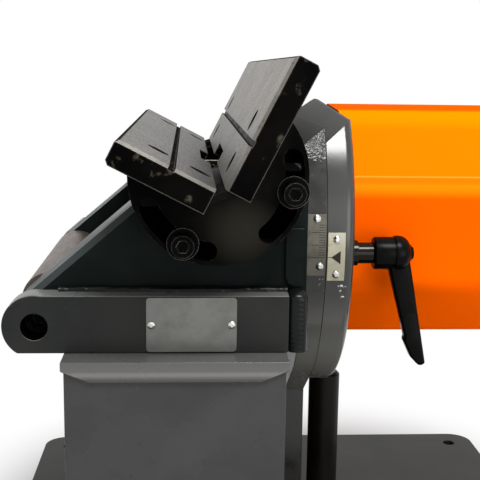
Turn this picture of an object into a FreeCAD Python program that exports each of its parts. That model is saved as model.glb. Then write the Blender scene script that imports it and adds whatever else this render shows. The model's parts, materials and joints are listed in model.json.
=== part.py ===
import FreeCAD, Part
import math
import os
import Sketcher

# Edge chamfering machine: a tilting V-guide over a milling cutter, whose motor swivels
# on an eccentric to set the depth of the chamfer. Origin: middle of the foot plate's underside.

os.makedirs("parts", exist_ok=True)
doc = FreeCAD.newDocument("ChamferingMachine")
sheet = doc.addObject("Spreadsheet::Sheet", "Sizes")

sizes = {
    # fits and cuts
    "runFit": 0.05, "seatGap": 0.3, "overrun": 2, "softEdge": 1, "sheetWall": 2.5,
    # foot plate and cabinet; the widths stand out past what they carry
    "footLong": 540, "footSide": 13, "footThick": 12, "footCorner": 25, "anchorInset": 30,
    "anchorRadius": 7, "cabinetHigh": 240, "cabinetLong": 172, "cabinetSide": 20, "cabinetRight": 53.5,
    "lidThick": 3, "lidLip": 13, "lidOver": 2, "lidNotch": 22, "lidCorner": 4, "guideX": -70,
    # side beams, seen from the front; heights are below the guide's axis
    "headDrop": 141, "webHalfIn": 110, "barThick": 23, "barHigh": 46.5, "barRight": 57,
    "lugX": 143.5, "lugRadius": 25.5, "lugBore": 10.5, "webLug": 21.5,
    "slopeTopX": 68.5, "webTopDrop": 27, "earLeft": 30, "earInner": 46, "earRise": 2, "slopeBevel": 5,
    "tieRadius": 24.5, "tieBore": 6, "tieHeadDeep": 42, "tieHead": 9, "tieHeadLong": 12, "tieThread": 30,
    # fixed flange, the pad where it joins the web, and the leg under it
    "flangeRadius": 158, "swivelDrop": 62, "flangeLeft": 73, "flangeThick": 19, "turnThick": 24,
    "pilotRadius": 78, "bevelLow": 20, "bevelHigh": 34.6, "turnBevelLow": 28.4, "turnBevelLong": 21,
    "turnTop": 45.4, "rimRound": 8, "padLeft": 55.5, "padRight": 70, "padClear": 0.8, "padLowDrop": 91,
    "padRise": 4, "padCorner": 8, "padCornerShare": 0.3, "studBite": 15, "legAngle": 58, "legHalf": 28,
    "weldSagShare": 0.3,
    # V-guide
    "discRadius": 70, "discThick": 25, "discHalf": 202, "vertexDrop": 5.7, "guideTilt": 18,
    "railThick": 20, "railPast": 58, "leftWide": 79, "rightWide": 107, "leftStart": 5.7,
    "rightStart": 2.8, "railBevel": 3, "grooveAt": 40.5, "grooveWide": 5, "grooveDeep": 3,
    "screwNear": 17.5, "screwFar": 54, "railSink": 9, "railSinkDeep": 11, "railHead": 8,
    "railHeadLong": 10, "railThread": 5, "railBite": 10, "railSocketShare": 0.5, "notchHalf": 48,
    "notchReach": 15, "ridgeDrop": 2.5, "keyTop": 0.8, "keyLow": 4, "keyLong": 40,
    "slotRadius": 59, "slotWide": 15, "leftSlotAngle": 186, "leftSlotEndAngle": 244,
    "rightSlotAngle": 293, "rightSlotEndAngle": 356, "leftClampAngle": 242.4, "rightClampAngle": -11.4,
    "clampThread": 6, "clampHead": 9, "clampHeadLong": 12, "clampBite": 30, "washerRadius": 12.8,
    "washerThick": 2.5, "socketShare": 0.55, "socketDeep": 6,
    # depth swivel
    "swivelRestAngle": 3, "eccentric": 15.5, "noseRadius": 40, "noseLeft": 22, "spigotLong": 16,
    "swivelSlotInset": 29.5, "swivelSlotFit": 1, "leverAngle": 185.1, "boltAngle": 35,
    "boltLowAngle": 280, "slotBackAngle": 6, "slotAheadAngle": 9, "boltThread": 6, "boltHead": 9,
    "boltHeadLong": 12,
    # motor and its housing, which is as wide as the lever leaves room for
    "leverRoom": 8.3, "housingRise": 4, "housingLong": 234, "housingBend": 25, "housingWall": 2.5,
    "octagonAngle": 22.5, "coverThick": 3, "ventLong": 90, "ventWide": 8, "ventPitch": 18, "ventCount": 7,
    "ventShiftShare": 0.75, "barrelGap": 7, "barrelWall": 7, "motorEndGap": 12, "statorAt": 40,
    "statorRoom": 27, "statorWallShare": 0.3375, "rotorGap": 0.6, "bellThick": 14, "fanShort": 18,
    "fanLong": 12, "fanGap": 2, "fanHub": 14,
    "fanHubWall": 3, "bladeThick": 3, "bladeCount": 9,
    # spindle
    "cutterRadius": 58.5, "cutterWide": 16, "cutterBody": 54, "insertSide": 10, "insertThick": 4,
    "insertCount": 6, "insertScrew": 2, "insertBite": 5, "shaftRadius": 15, "tailRadius": 12,
    "bearingOut": 31, "bearingLong": 16, "tailBearingOut": 26, "tailBearingLong": 13, "capRadius": 21,
    "capThick": 5, "capBolt": 6, "capBoltLong": 12, "capBoltBite": 24, "capHeadShare": 1.5,
    "capSocketShare": 0.9,
    # indicator plates
    "rulerWide": 16.8, "rulerTopAngle": 9.6, "rulerLowAngle": 9.2, "rulerRivetAt": 9.2,
    "rulerRivetStep": 3, "rulerRivetTop": 3.6, "rulerRivetLow": 8.3, "plateThick": 1, "pointerWide": 14.6,
    "pointerTopAngle": 4.1, "pointerLowAngle": 10.8, "pointerRivetAt": 7.5, "pointerRivetInset": 5.6,
    "rivetRadius": 3.4, "rivetHigh": 2, "rivetRoundShare": 0.85, "rivetCrownShare": 0.4,
    "noticeLeft": 56, "noticeWide": 71.5, "noticeHigh": 44, "noticeTopGap": 1.2, "noticeCorner": 3,
    "noticeRivetInset": 4,
    # clamp lever: hub with a domed cap, then the arm's outline from the hub's left end down
    "leverWasher": 11, "leverWasherThick": 6.2, "sleeveRadius": 9.1, "sleeveLong": 13.4,
    "hubRadius": 14, "hubLong": 33, "hubSeamAt": 17.5, "domeRadius": 15.2, "domeShoulder": 11.2,
    "domeShoulderAt": 28.4, "domeEnd": 7, "capButton": 5.3, "capButtonIn": 4.2, "capButtonOut": 2.2,
    "studThread": 6, "armWide": 15, "armRootAt": 13.8, "armRootWide": 20, "armInside": 7,
    "armLean": 15.6, "armDrop": 99.6, "armKnee": 16.4, "armKneeDrop": 74, "armHeel": 1.2,
    "armHeelDrop": 77, "armTipWide": 13.4, "armTipRise": 7.3, "armTipFlat": 4.4, "armTipCorner": 2,
    # support post
    "postRadius": 15.5, "postEdge": 3, "postFootRadius": 24.2, "postFootThick": 8,
    # switch
    "switchHigh": 96, "switchWide": 62, "switchDeep": 34, "switchDrop": 10, "buttonRadius": 11,
    "buttonLong": 12, "buttonTravel": 4, "buttonPitch": 38, "collarRing": 14, "collarRingLong": 4,
    "glandRadius": 9, "glandLong": 18, "glandNeckShare": 0.7,
}
for row, (alias, number) in enumerate(sizes.items(), start=1):
    sheet.set(f"A{row}", alias)
    sheet.set(f"B{row}", str(number))
    sheet.setAlias(f"B{row}", alias)
doc.recompute()


class Size:
    """A length or angle that keeps its number and the formula it comes from."""

    def __init__(self, number, formula):
        self.number = number
        self.formula = formula

    def join(self, other, sign, number):
        other_formula = other.formula if isinstance(other, Size) else repr(other)
        return Size(number, f"({self.formula} {sign} {other_formula})")

    def __add__(self, other):
        return self.join(other, "+", self.number + plain(other))

    def __sub__(self, other):
        return self.join(other, "-", self.number - plain(other))

    def __mul__(self, other):
        return self.join(other, "*", self.number * plain(other))

    def __truediv__(self, other):
        return self.join(other, "/", self.number / plain(other))

    def __neg__(self):
        return Size(-self.number, f"(-1 * {self.formula})")


def plain(value):
    return value.number if isinstance(value, Size) else value


def cosine(angle):
    return Size(math.cos(math.radians(angle.number)), f"cos({angle.formula} * 1 deg)")


def sine(angle):
    return Size(math.sin(math.radians(angle.number)), f"sin({angle.formula} * 1 deg)")


def tangent(angle):
    return Size(math.tan(math.radians(angle.number)), f"tan({angle.formula} * 1 deg)")


size = {alias: Size(float(sheet.get(alias)), f"Sizes.{alias}") for alias in sizes}
nothing = Size(0.0, "0")
AXES = {"x": FreeCAD.Vector(1, 0, 0), "y": FreeCAD.Vector(0, 1, 0), "z": FreeCAD.Vector(0, 0, 1)}
parts = []


def bind(item, name, value):
    if isinstance(value, Size):
        item.setExpression(name, value.formula)
    else:
        setattr(item, name, value)


def place(item, x=nothing, y=nothing, z=nothing, axis=None, angle=None):
    """Put a piece somewhere, turned about one axis through its own origin."""
    turn = FreeCAD.Rotation(axis, plain(angle)) if axis else FreeCAD.Rotation()
    item.Placement = FreeCAD.Placement(FreeCAD.Vector(plain(x), plain(y), plain(z)), turn)
    for letter, value in (("x", x), ("y", y), ("z", z)):
        if value is not nothing:
            item.setExpression(f".Placement.Base.{letter}", value.formula)
    if isinstance(angle, Size):
        item.setExpression(".Placement.Rotation.Angle", angle.formula)
    return item


def keep(item, label):
    """Name a finished piece; it becomes a file of its own."""
    item.Label = label
    parts.append(item)
    return item


def new_body(name):
    return doc.addObject("PartDesign::Body", name)


def new_sketch(body, role, offset=None):
    sketch = body.newObject("Sketcher::SketchObject", body.Name + "Sketch")
    plane = [item for item in body.Origin.OriginFeatures if item.Role == role][0]
    sketch.AttachmentSupport = [(plane, "")]
    sketch.MapMode = "FlatFace"
    if offset is not None:
        sketch.AttachmentOffset = FreeCAD.Placement(FreeCAD.Vector(0, 0, plain(offset)), FreeCAD.Rotation())
        sketch.setExpression("AttachmentOffset.Base.z", offset.formula)
    return sketch


def hold(sketch, kind, geometry, point, value):
    index = sketch.addConstraint(Sketcher.Constraint(kind, -1, 1, geometry, point, plain(value)))
    if isinstance(value, Size):
        sketch.setExpression(f"Constraints[{index}]", value.formula)


def draw_polygon(sketch, points):
    """Closed outline, every corner held from the sketch's origin."""
    first = sketch.GeometryCount
    corners = [FreeCAD.Vector(plain(x), plain(y), 0) for x, y in points]
    count = len(corners)
    for i in range(count):
        sketch.addGeometry(Part.LineSegment(corners[i], corners[(i + 1) % count]), False)
    for i in range(count):
        sketch.addConstraint(Sketcher.Constraint("Coincident", first + i, 2, first + (i + 1) % count, 1))
    for i, (x, y) in enumerate(points):
        hold(sketch, "DistanceX", first + i, 1, x)
        hold(sketch, "DistanceY", first + i, 1, y)
    return sketch


def draw_circle(sketch, x, y, radius):
    centre = FreeCAD.Vector(plain(x), plain(y), 0)
    index = sketch.addGeometry(Part.Circle(centre, FreeCAD.Vector(0, 0, 1), plain(radius)), False)
    held = sketch.addConstraint(Sketcher.Constraint("Radius", index, plain(radius)))
    if isinstance(radius, Size):
        sketch.setExpression(f"Constraints[{held}]", radius.formula)
    hold(sketch, "DistanceX", index, 3, x)
    hold(sketch, "DistanceY", index, 3, y)
    return sketch


def pad(body, sketch, length, both=False, flip=False):
    feature = body.newObject("PartDesign::Pad", body.Name + "Pad")
    feature.Profile = sketch
    bind(feature, "Length", length)
    feature.Midplane = both
    feature.Reversed = flip
    body.Tip = feature
    return feature


def pocket(body, sketch, depth=None, flip=False):
    """Cut a sketch to a depth, or right through on both sides."""
    feature = body.newObject("PartDesign::Pocket", body.Name + "Pocket")
    feature.Profile = sketch
    if depth is None:
        feature.Type = 1
        feature.Midplane = True
    else:
        bind(feature, "Length", depth)
        feature.Reversed = flip
    body.Tip = feature
    return feature


def turn(body, sketch, axis="H_Axis"):
    feature = body.newObject("PartDesign::Revolution", body.Name + "Turn")
    feature.Profile = sketch
    feature.ReferenceAxis = (sketch, [axis])
    feature.Angle = 360
    body.Tip = feature
    return feature


def turned(name, profile, along="x"):
    """Solid of revolution about X or Z from (along the axis, radius) corners."""
    body = new_body(name)
    if along == "x":
        turn(body, draw_polygon(new_sketch(body, "XY_Plane"), profile), "H_Axis")
    else:
        turn(body, draw_polygon(new_sketch(body, "XZ_Plane"), [(r, a) for a, r in profile]), "V_Axis")
    return body


def ring(name, start, end, inner, outer):
    return turned(name, [(start, inner), (end, inner), (end, outer), (start, outer)])


def straight_edges(feature, axis, y=None):
    """Names of the edges that run along an axis, of those at one Y where one is given."""
    names = []
    for number, edge in enumerate(feature.Shape.Edges, start=1):
        if edge.Curve.TypeId != "Part::GeomLine":
            continue
        along = abs(edge.tangentAt(edge.FirstParameter).dot(axis)) > 1 - 1e-6
        if along and (y is None or abs(edge.CenterOfMass.y - plain(y)) < 1e-6):
            names.append(f"Edge{number}")
    return names


def round_edges(feature, radius, x):
    """Names of the round edges of one radius that lie square to X at one place."""
    names = []
    for number, edge in enumerate(feature.Shape.Edges, start=1):
        if edge.Curve.TypeId == "Part::GeomCircle" and abs(edge.Curve.Radius - plain(radius)) < 1e-6:
            if abs(edge.Curve.Center.x - plain(x)) < 1e-6:
                names.append(f"Edge{number}")
    return names


def soften(body, feature, names, radius, kind="Fillet"):
    finish = body.newObject("PartDesign::" + kind, body.Name + kind)
    finish.Base = (feature, names)
    bind(finish, "Radius" if kind == "Fillet" else "Size", radius)
    body.Tip = finish
    return finish


def cylinder(name, radius, length, along="z", x=nothing, y=nothing, z=nothing):
    item = doc.addObject("Part::Cylinder", name)
    bind(item, "Radius", radius)
    bind(item, "Height", length)
    turns = {"z": (None, None), "x": (AXES["y"], 90), "y": (AXES["x"], -90)}
    axis, angle = turns[along]
    return place(item, x, y, z, axis, angle)


def box(name, long, wide, high, x=nothing, y=nothing, z=nothing):
    item = doc.addObject("Part::Box", name)
    bind(item, "Length", long)
    bind(item, "Width", wide)
    bind(item, "Height", high)
    return place(item, x, y, z)


def boolean(kind, name, base, tool):
    item = doc.addObject("Part::" + kind, name)
    item.Base = base
    item.Tool = tool
    return item


def joined(name, items):
    item = doc.addObject("Part::MultiFuse", name)
    item.Shapes = items
    return item


def group(label, items):
    """Like pieces kept as separate solids in one node."""
    item = doc.addObject("Part::Compound", label)
    item.Links = items
    return keep(item, label)


def cap_screw(name, head, head_long, thread, thread_long, along, x, y, z, sign=1):
    """Socket head screw: the head stands out along the axis, the thread points back in."""
    step = {"x": (head_long, nothing, nothing), "y": (nothing, head_long, nothing)}[along]
    back = {"x": (thread_long, nothing, nothing), "y": (nothing, thread_long, nothing)}[along]
    deep = {"x": (size["socketDeep"], nothing, nothing), "y": (nothing, size["socketDeep"], nothing)}[along]
    head_at = (x, y, z) if sign > 0 else (x - step[0], y - step[1], z)
    thread_at = (x - back[0], y - back[1], z) if sign > 0 else (x, y, z)
    socket_at = (x + step[0] - deep[0], y + step[1] - deep[1], z) if sign > 0 else head_at
    solid = joined(name + "Solid", [
        cylinder(name + "Head", head, head_long, along, *head_at),
        cylinder(name + "Thread", thread, thread_long, along, *thread_at)])
    socket = doc.addObject("Part::Prism", name + "Socket")
    socket.Polygon = 6
    bind(socket, "Circumradius", head * s("socketShare"))
    bind(socket, "Height", size["socketDeep"])
    axis, angle = {"x": (AXES["y"], 90), "y": (AXES["x"], -90)}[along]
    place(socket, *socket_at, axis, angle)
    return boolean("Cut", name, solid, socket)


def s(alias):
    return size[alias]


# Heights and places that several pieces share
lid_top = s("footThick") + s("cabinetHigh") + s("lidThick")
guide_z = lid_top + s("headDrop")
swivel_z = guide_z - s("swivelDrop")
guide_x = s("guideX")
turn_face = s("flangeLeft") + s("flangeThick")
turn_back = turn_face + s("turnThick")
rail_half = s("discHalf") + s("railPast")
cabinet_half = s("discHalf") + s("cabinetSide")
web_face = s("discHalf") - s("discThick") - s("seatGap")
bar_face = web_face + s("barThick")
lug_drop = s("headDrop") - s("webLug")
swivel_slot_radius = s("flangeRadius") - s("swivelSlotInset")
lever_y = swivel_slot_radius * cosine(s("leverAngle"))
lever_z = swivel_slot_radius * sine(s("leverAngle"))
spindle_y = -(s("eccentric") * cosine(s("swivelRestAngle")))
spindle_z = swivel_z - s("eccentric") * sine(s("swivelRestAngle"))
housing_half = swivel_slot_radius - s("domeRadius") - s("leverRoom")
housing_end = turn_back + s("housingLong")
barrel_radius = housing_half - s("housingWall") - s("eccentric") - s("barrelGap")
fan_end = housing_end - s("coverThick") - s("motorEndGap") - s("softEdge")
bell_at = fan_end - s("fanLong") - s("fanGap") - s("bellThick")
stator_long = bell_at - turn_back - s("statorAt") - s("tailBearingLong") - s("statorRoom")
stator_bore = barrel_radius - s("barrelWall") - barrel_radius * s("statorWallShare")
Y_DOWN = FreeCAD.Vector(0, -1, 0)


def at_guide(item):
    """Guide pieces are drawn with the V upright, then tilted about the guide's axis."""
    return place(item, guide_x, nothing, guide_z, Y_DOWN, s("guideTilt"))


def at_swivel(item):
    return place(item, guide_x, nothing, swivel_z, AXES["x"], s("swivelRestAngle"))


def at_spindle(item):
    return place(item, guide_x, spindle_y, spindle_z, AXES["x"], s("swivelRestAngle"))


def clamp_spots():
    """Places of the screws that clamp the discs, from the guide's axis."""
    return [(s("slotRadius") * cosine(s(name)), s("slotRadius") * sine(s(name)))
            for name in ("leftClampAngle", "rightClampAngle")]


# Foot plate
def make_foot_plate():
    body = new_body("FootPlate")
    half_long = s("footLong") / 2
    half_wide = cabinet_half + s("footSide")
    sketch = draw_polygon(new_sketch(body, "XY_Plane"), [
        (-half_long, -half_wide), (half_long, -half_wide), (half_long, half_wide), (-half_long, half_wide)])
    plate = pad(body, sketch, s("footThick"))
    doc.recompute()
    soften(body, plate, straight_edges(plate, AXES["z"]), s("footCorner"))
    holes = new_sketch(body, "XY_Plane")
    for side in (-1, 1):
        for end in (-1, 1):
            draw_circle(holes, (half_long - s("anchorInset")) * side, (half_wide - s("anchorInset")) * end,
                        s("anchorRadius"))
    pocket(body, holes)
    keep(body, "foot_plate")


# Sheet-metal cabinet and its lid
def make_cabinet():
    left = guide_x + s("cabinetRight") - s("cabinetLong")
    wall = s("sheetWall")
    shell = box("CabinetShell", s("cabinetLong"), cabinet_half * 2, s("cabinetHigh"),
                left, -cabinet_half, s("footThick"))
    room = box("CabinetRoom", s("cabinetLong") - wall * 2, cabinet_half * 2 - wall * 2,
               s("cabinetHigh") + s("overrun") * 2,
               left + wall, wall - cabinet_half, s("footThick") - s("overrun"))
    keep(boolean("Cut", "Cabinet", shell, room), "base_cabinet")


def make_lid():
    """Sheet lid whose folded lips taper up towards the corners."""
    over = s("lidOver") + s("seatGap")
    half_long = s("cabinetLong") / 2 + over
    half_wide = cabinet_half + over
    body = new_body("Lid")
    flat = draw_polygon(new_sketch(body, "XY_Plane"), [
        (-half_long, -half_wide), (half_long, -half_wide), (half_long, half_wide), (-half_long, half_wide)])
    pad(body, flat, s("lidThick"))
    for role, half, reach in (("XZ_Plane", half_long, half_wide), ("YZ_Plane", half_wide, half_long)):
        inner = half - s("lidNotch")
        for out in (reach, s("lidOver") - reach):
            lip = draw_polygon(new_sketch(body, role, out), [
                (-half, nothing), (-half, -s("lidCorner")), (-inner, -s("lidLip")), (inner, -s("lidLip")),
                (half, -s("lidCorner")), (half, nothing)])
            pad(body, lip, s("lidOver"), flip=True)
    middle = guide_x + s("cabinetRight") - s("cabinetLong") / 2
    keep(place(body, middle, nothing, lid_top - s("lidThick")), "cabinet_lid")


# Side beams: a thick web with a sloped top, and a bar with a lug on its outer face
def web_slope():
    """Lean of the web's sloped edge, and the spot where it is tangent to the web's own lug circle."""
    rise = lug_drop - s("webTopDrop")
    run = s("lugX") - s("slopeTopX")
    reach = Size(math.hypot(rise.number, run.number), f"sqrt({rise.formula}^2 + {run.formula}^2)")
    lean_number = math.atan2(rise.number, run.number) - math.asin(s("webLug").number / reach.number)
    slope_formula = f"atan({rise.formula} / {run.formula})"
    lug_formula = f"asin({s('webLug').formula} / {reach.formula})"
    lean = Size(math.degrees(lean_number), f"(({slope_formula} - {lug_formula}) / 1 deg)")
    tangent_x = -s("lugX") - s("webLug") * sine(lean)
    tangent_z = -lug_drop + s("webLug") * cosine(lean)
    return lean, tangent_x, tangent_z


def make_web(label, side):
    """Cast web: sloped towards the lug, with an ear by the flange and a pad under the disc."""
    top_x = -s("slopeTopX")
    lean, tangent_x, tangent_z = web_slope()
    body = new_body("Web" + ("Front" if side < 0 else "Rear"))
    web = new_sketch(body, "XZ_Plane")
    draw_polygon(web, [
        (-s("lugX"), -s("headDrop")), (s("flangeLeft"), -s("headDrop")), (s("flangeLeft"), s("earRise")),
        (s("earInner"), s("earRise")), (s("earLeft"), -s("webTopDrop")), (top_x, -s("webTopDrop")),
        (tangent_x, tangent_z), (-s("lugX"), -lug_drop)])
    thick = web_face - s("webHalfIn")
    plate = pad(body, web, thick)
    doc.recompute()
    outer_y = -thick if side < 0 else nothing
    lean_way = FreeCAD.Vector(math.cos(math.radians(lean.number)), 0, math.sin(math.radians(lean.number)))
    soften(body, plate, straight_edges(plate, lean_way, y=outer_y), s("slopeBevel"), "Chamfer")
    lug = draw_circle(new_sketch(body, "XZ_Plane"), -s("lugX"), -lug_drop, s("webLug"))
    pad(body, lug, thick)
    outer = thick if side < 0 else nothing
    bore = draw_circle(new_sketch(body, "XZ_Plane", outer), -s("lugX"), -lug_drop, s("lugBore"))
    pocket(body, bore, s("tieHeadDeep") - s("barThick"), flip=side > 0)
    # the raised pad keeps clear of the turning disc
    disc_clear = s("discRadius") + s("padClear")
    pad_top = -Size(math.sqrt(disc_clear.number ** 2 - s("padLeft").number ** 2),
                    f"sqrt({disc_clear.formula}^2 - {s('padLeft').formula}^2)")
    corner, cut = s("padCorner"), s("padCorner") * s("padCornerShare")
    raised = draw_polygon(new_sketch(body, "XZ_Plane", outer), [
        (s("padLeft"), corner - s("padLowDrop")), (s("padLeft") + cut, cut - s("padLowDrop")),
        (s("padLeft") + corner, -s("padLowDrop")), (s("padRight"), -s("padLowDrop")),
        (s("padRight"), pad_top), (s("padLeft"), pad_top)])
    pad(body, raised, s("padRise"), flip=side > 0)
    bores = [(x, z, s("clampThread")) for x, z in clamp_spots()]
    for x, z, radius in [(-s("lugX"), -lug_drop, s("tieBore"))] + bores:
        pocket(body, draw_circle(new_sketch(body, "XZ_Plane"), x, z, radius + s("runFit")))
    if side < 0:
        bite = new_sketch(body, "YZ_Plane", s("flangeLeft"))
        draw_circle(bite, lever_y + s("webHalfIn"), lever_z - s("swivelDrop"), s("studThread") + s("runFit"))
        pocket(body, bite, s("studBite") + s("overrun"))
    inner = -s("webHalfIn") if side < 0 else web_face
    place(body, guide_x, inner, guide_z)
    keep(body, label)


def make_bar(label, side):
    body = new_body("Bar" + ("Front" if side < 0 else "Rear"))
    draw = new_sketch(body, "XZ_Plane")
    foot = Size(math.sqrt(s("lugRadius").number ** 2 - s("webLug").number ** 2),
                f"sqrt({s('lugRadius').formula}^2 - {s('webLug').formula}^2)")
    draw_polygon(draw, [
        (-s("lugX") - foot, -s("headDrop")), (s("barRight"), -s("headDrop")),
        (s("barRight"), s("barHigh") - s("headDrop")), (-s("lugX"), s("barHigh") - s("headDrop")),
        (-s("lugX"), -lug_drop)])
    pad(body, draw, s("barThick"))
    lug = new_sketch(body, "XZ_Plane")
    draw_circle(lug, -s("lugX"), -lug_drop, s("lugRadius"))
    pad(body, lug, s("barThick"))
    trim = new_sketch(body, "XZ_Plane")
    reach = s("lugRadius") + s("overrun")
    draw_polygon(trim, [
        (-s("lugX") - reach, -lug_drop - reach), (-s("lugX") + reach, -lug_drop - reach),
        (-s("lugX") + reach, -s("headDrop")), (-s("lugX") - reach, -s("headDrop"))])
    pocket(body, trim)
    if side > 0:
        # the rear lug is cut flush with the web's slope
        lean, cut_x, cut_z = web_slope()
        along_x, along_z = reach * cosine(lean), reach * sine(lean)
        slice_off = new_sketch(body, "XZ_Plane")
        draw_polygon(slice_off, [
            (cut_x - along_x, cut_z - along_z), (cut_x + along_x, cut_z + along_z),
            (cut_x + along_x - along_z, cut_z + along_z + along_x),
            (cut_x - along_x - along_z, cut_z - along_z + along_x)])
        pocket(body, slice_off)
    bore = new_sketch(body, "XZ_Plane")
    draw_circle(bore, -s("lugX"), -lug_drop, s("lugBore"))
    pocket(body, bore)
    inner = -web_face if side < 0 else bar_face
    place(body, guide_x, inner, guide_z)
    keep(body, label)


def make_tie():
    half = s("webHalfIn")
    x, z = guide_x - s("lugX"), guide_z - lug_drop
    bar = cylinder("TieBar", s("tieRadius"), half * 2, "y", x, -half, z)
    bore, deep = s("tieBore") + s("runFit"), s("tieThread") + s("overrun")
    bores = []
    for number, start in enumerate((-half - s("overrun"), half - s("tieThread"))):
        bores.append(cylinder(f"TieBore{number}", bore, deep, "y", x, start, z))
    keep(boolean("Cut", "Tie", bar, joined("TieBores", bores)), "tie_bar")
    seat = bar_face - s("tieHeadDeep")
    long = seat - s("webHalfIn") + s("tieThread") - s("overrun")
    bolts = [cap_screw(f"TieBolt{number}", s("tieHead"), s("tieHeadLong"), s("tieBore"), long, "y",
                       x, seat * sign, z, sign)
             for number, sign in enumerate((-1, 1))]
    group("tie_bolts", bolts)


# Fixed swivel flange
def bolt_spots():
    spots = []
    for name in ("boltAngle", "boltLowAngle"):
        spots.append((swivel_slot_radius * cosine(s(name)), swivel_slot_radius * sine(s(name))))
    return spots


def make_head_flange():
    """Fixed flange on a leg whose flanks leave the rim as tangents."""
    body = new_body("HeadFlange")
    rim = draw_circle(new_sketch(body, "YZ_Plane"), nothing, nothing, s("flangeRadius"))
    pad(body, rim, s("flangeThick"))
    rim_y = s("flangeRadius") * cosine(s("legAngle"))
    rim_z = -(s("flangeRadius") * sine(s("legAngle")))
    neck_z = (s("legHalf") * cosine(s("legAngle")) - s("flangeRadius")) / sine(s("legAngle"))
    foot_z = s("footThick") - swivel_z
    leg = draw_polygon(new_sketch(body, "YZ_Plane"), [
        (-rim_y, rim_z), (-s("legHalf"), neck_z), (-s("legHalf"), foot_z), (s("legHalf"), foot_z),
        (s("legHalf"), neck_z), (rim_y, rim_z)])
    pad(body, leg, s("flangeThick"))
    cut = new_sketch(body, "XZ_Plane")
    high = s("flangeRadius") + s("overrun")
    extra = (s("bevelHigh") - s("bevelLow")) / s("flangeThick") * s("overrun")
    draw_polygon(cut, [
        (-s("overrun"), s("swivelDrop") + s("bevelLow") - extra),
        (s("flangeThick") + s("overrun"), s("swivelDrop") + s("bevelHigh") + extra),
        (s("flangeThick") + s("overrun"), high), (-s("overrun"), high)])
    pocket(body, cut)
    pocket(body, draw_circle(new_sketch(body, "YZ_Plane"), nothing, nothing, s("pilotRadius") + s("runFit")))
    pocket(body, draw_circle(new_sketch(body, "YZ_Plane"), lever_y, lever_z, s("studThread") + s("runFit")))
    for y, z in bolt_spots():
        pocket(body, draw_circle(new_sketch(body, "YZ_Plane"), y, z, s("boltThread") + s("runFit")))
    place(body, guide_x + s("flangeLeft"), nothing, swivel_z)
    keep(body, "head_flange")


# Turning flange of the motor unit
def arc_slot(sketch, radius, start, end, half_wide):
    """Closed slot along an arc about the sketch's origin, with round ends set by their angles."""
    middle = FreeCAD.Vector(0, 0, 0)
    up = FreeCAD.Vector(0, 0, 1)
    r, w = plain(radius), plain(half_wide)
    a, b = math.radians(plain(start)), math.radians(plain(end))

    def spot(r_at, angle):
        return FreeCAD.Vector(r_at * math.cos(angle), r_at * math.sin(angle), 0)

    outer = sketch.addGeometry(Part.ArcOfCircle(Part.Circle(middle, up, r + w), a, b), False)
    far_end = sketch.addGeometry(Part.ArcOfCircle(Part.Circle(spot(r, b), up, w), b, b + math.pi), False)
    inner = sketch.addGeometry(Part.ArcOfCircle(Part.Circle(middle, up, r - w), a, b), False)
    back = a + math.pi
    start_round = Part.Circle(spot(r, a), up, w)
    near_end = sketch.addGeometry(Part.ArcOfCircle(start_round, back, back + math.pi), False)
    for one, one_point, other, other_point in (
            (outer, 2, far_end, 1), (far_end, 2, inner, 2), (inner, 1, near_end, 1), (near_end, 2, outer, 1)):
        sketch.addConstraint(Sketcher.Constraint("Tangent", one, one_point, other, other_point))
    for arc, value in ((outer, radius + half_wide), (inner, radius - half_wide)):
        sketch.addConstraint(Sketcher.Constraint("Coincident", arc, 3, -1, 1))
        held = sketch.addConstraint(Sketcher.Constraint("Radius", arc, plain(value)))
        sketch.setExpression(f"Constraints[{held}]", value.formula)
    for arc, angle in ((far_end, end), (near_end, start)):
        spoke = sketch.addGeometry(Part.LineSegment(middle, spot(r, math.radians(plain(angle)))), True)
        sketch.addConstraint(Sketcher.Constraint("Coincident", spoke, 1, -1, 1))
        sketch.addConstraint(Sketcher.Constraint("Coincident", spoke, 2, arc, 3))
        held = sketch.addConstraint(Sketcher.Constraint("Angle", spoke, math.radians(plain(angle))))
        sketch.setExpression(f"Constraints[{held}]", f"{angle.formula} * 1 deg")
    return sketch


def make_turn_flange():
    body = new_body("TurnFlange")
    rim = draw_circle(new_sketch(body, "YZ_Plane"), nothing, nothing, s("flangeRadius"))
    plate = pad(body, rim, s("turnThick"))
    doc.recompute()
    soften(body, plate, round_edges(plate, s("flangeRadius"), s("turnThick")), s("rimRound"))
    spigot = new_sketch(body, "YZ_Plane")
    draw_circle(spigot, nothing, nothing, s("pilotRadius"))
    pad(body, spigot, s("spigotLong"), flip=True)
    nose = new_sketch(body, "YZ_Plane")
    draw_circle(nose, -s("eccentric"), nothing, s("noseRadius"))
    pad(body, nose, turn_face - s("noseLeft"), flip=True)
    cut = new_sketch(body, "XZ_Plane")
    high = s("flangeRadius") + s("overrun")
    top = s("swivelDrop") + s("turnTop")
    low = s("swivelDrop") + s("turnBevelLow")
    draw_polygon(cut, [
        (-s("overrun"), low), (nothing, low), (s("turnBevelLong"), top),
        (s("turnThick") + s("overrun"), top), (s("turnThick") + s("overrun"), high), (-s("overrun"), high)])
    pocket(body, cut)
    bore = new_sketch(body, "YZ_Plane")
    draw_circle(bore, -s("eccentric"), nothing, s("bearingOut") + s("runFit"))
    pocket(body, bore)
    for name, thread in (
            ("leverAngle", "studThread"), ("boltAngle", "boltThread"), ("boltLowAngle", "boltThread")):
        slots = new_sketch(body, "YZ_Plane")
        middle = s(name) - s("swivelRestAngle")
        arc_slot(slots, swivel_slot_radius, middle - s("slotBackAngle"), middle + s("slotAheadAngle"),
                 s(thread) + s("swivelSlotFit"))
        pocket(body, slots, s("turnThick"), flip=True)
    place(body, guide_x + turn_face, nothing, swivel_z, AXES["x"], s("swivelRestAngle"))
    keep(body, "housing_flange")


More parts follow.
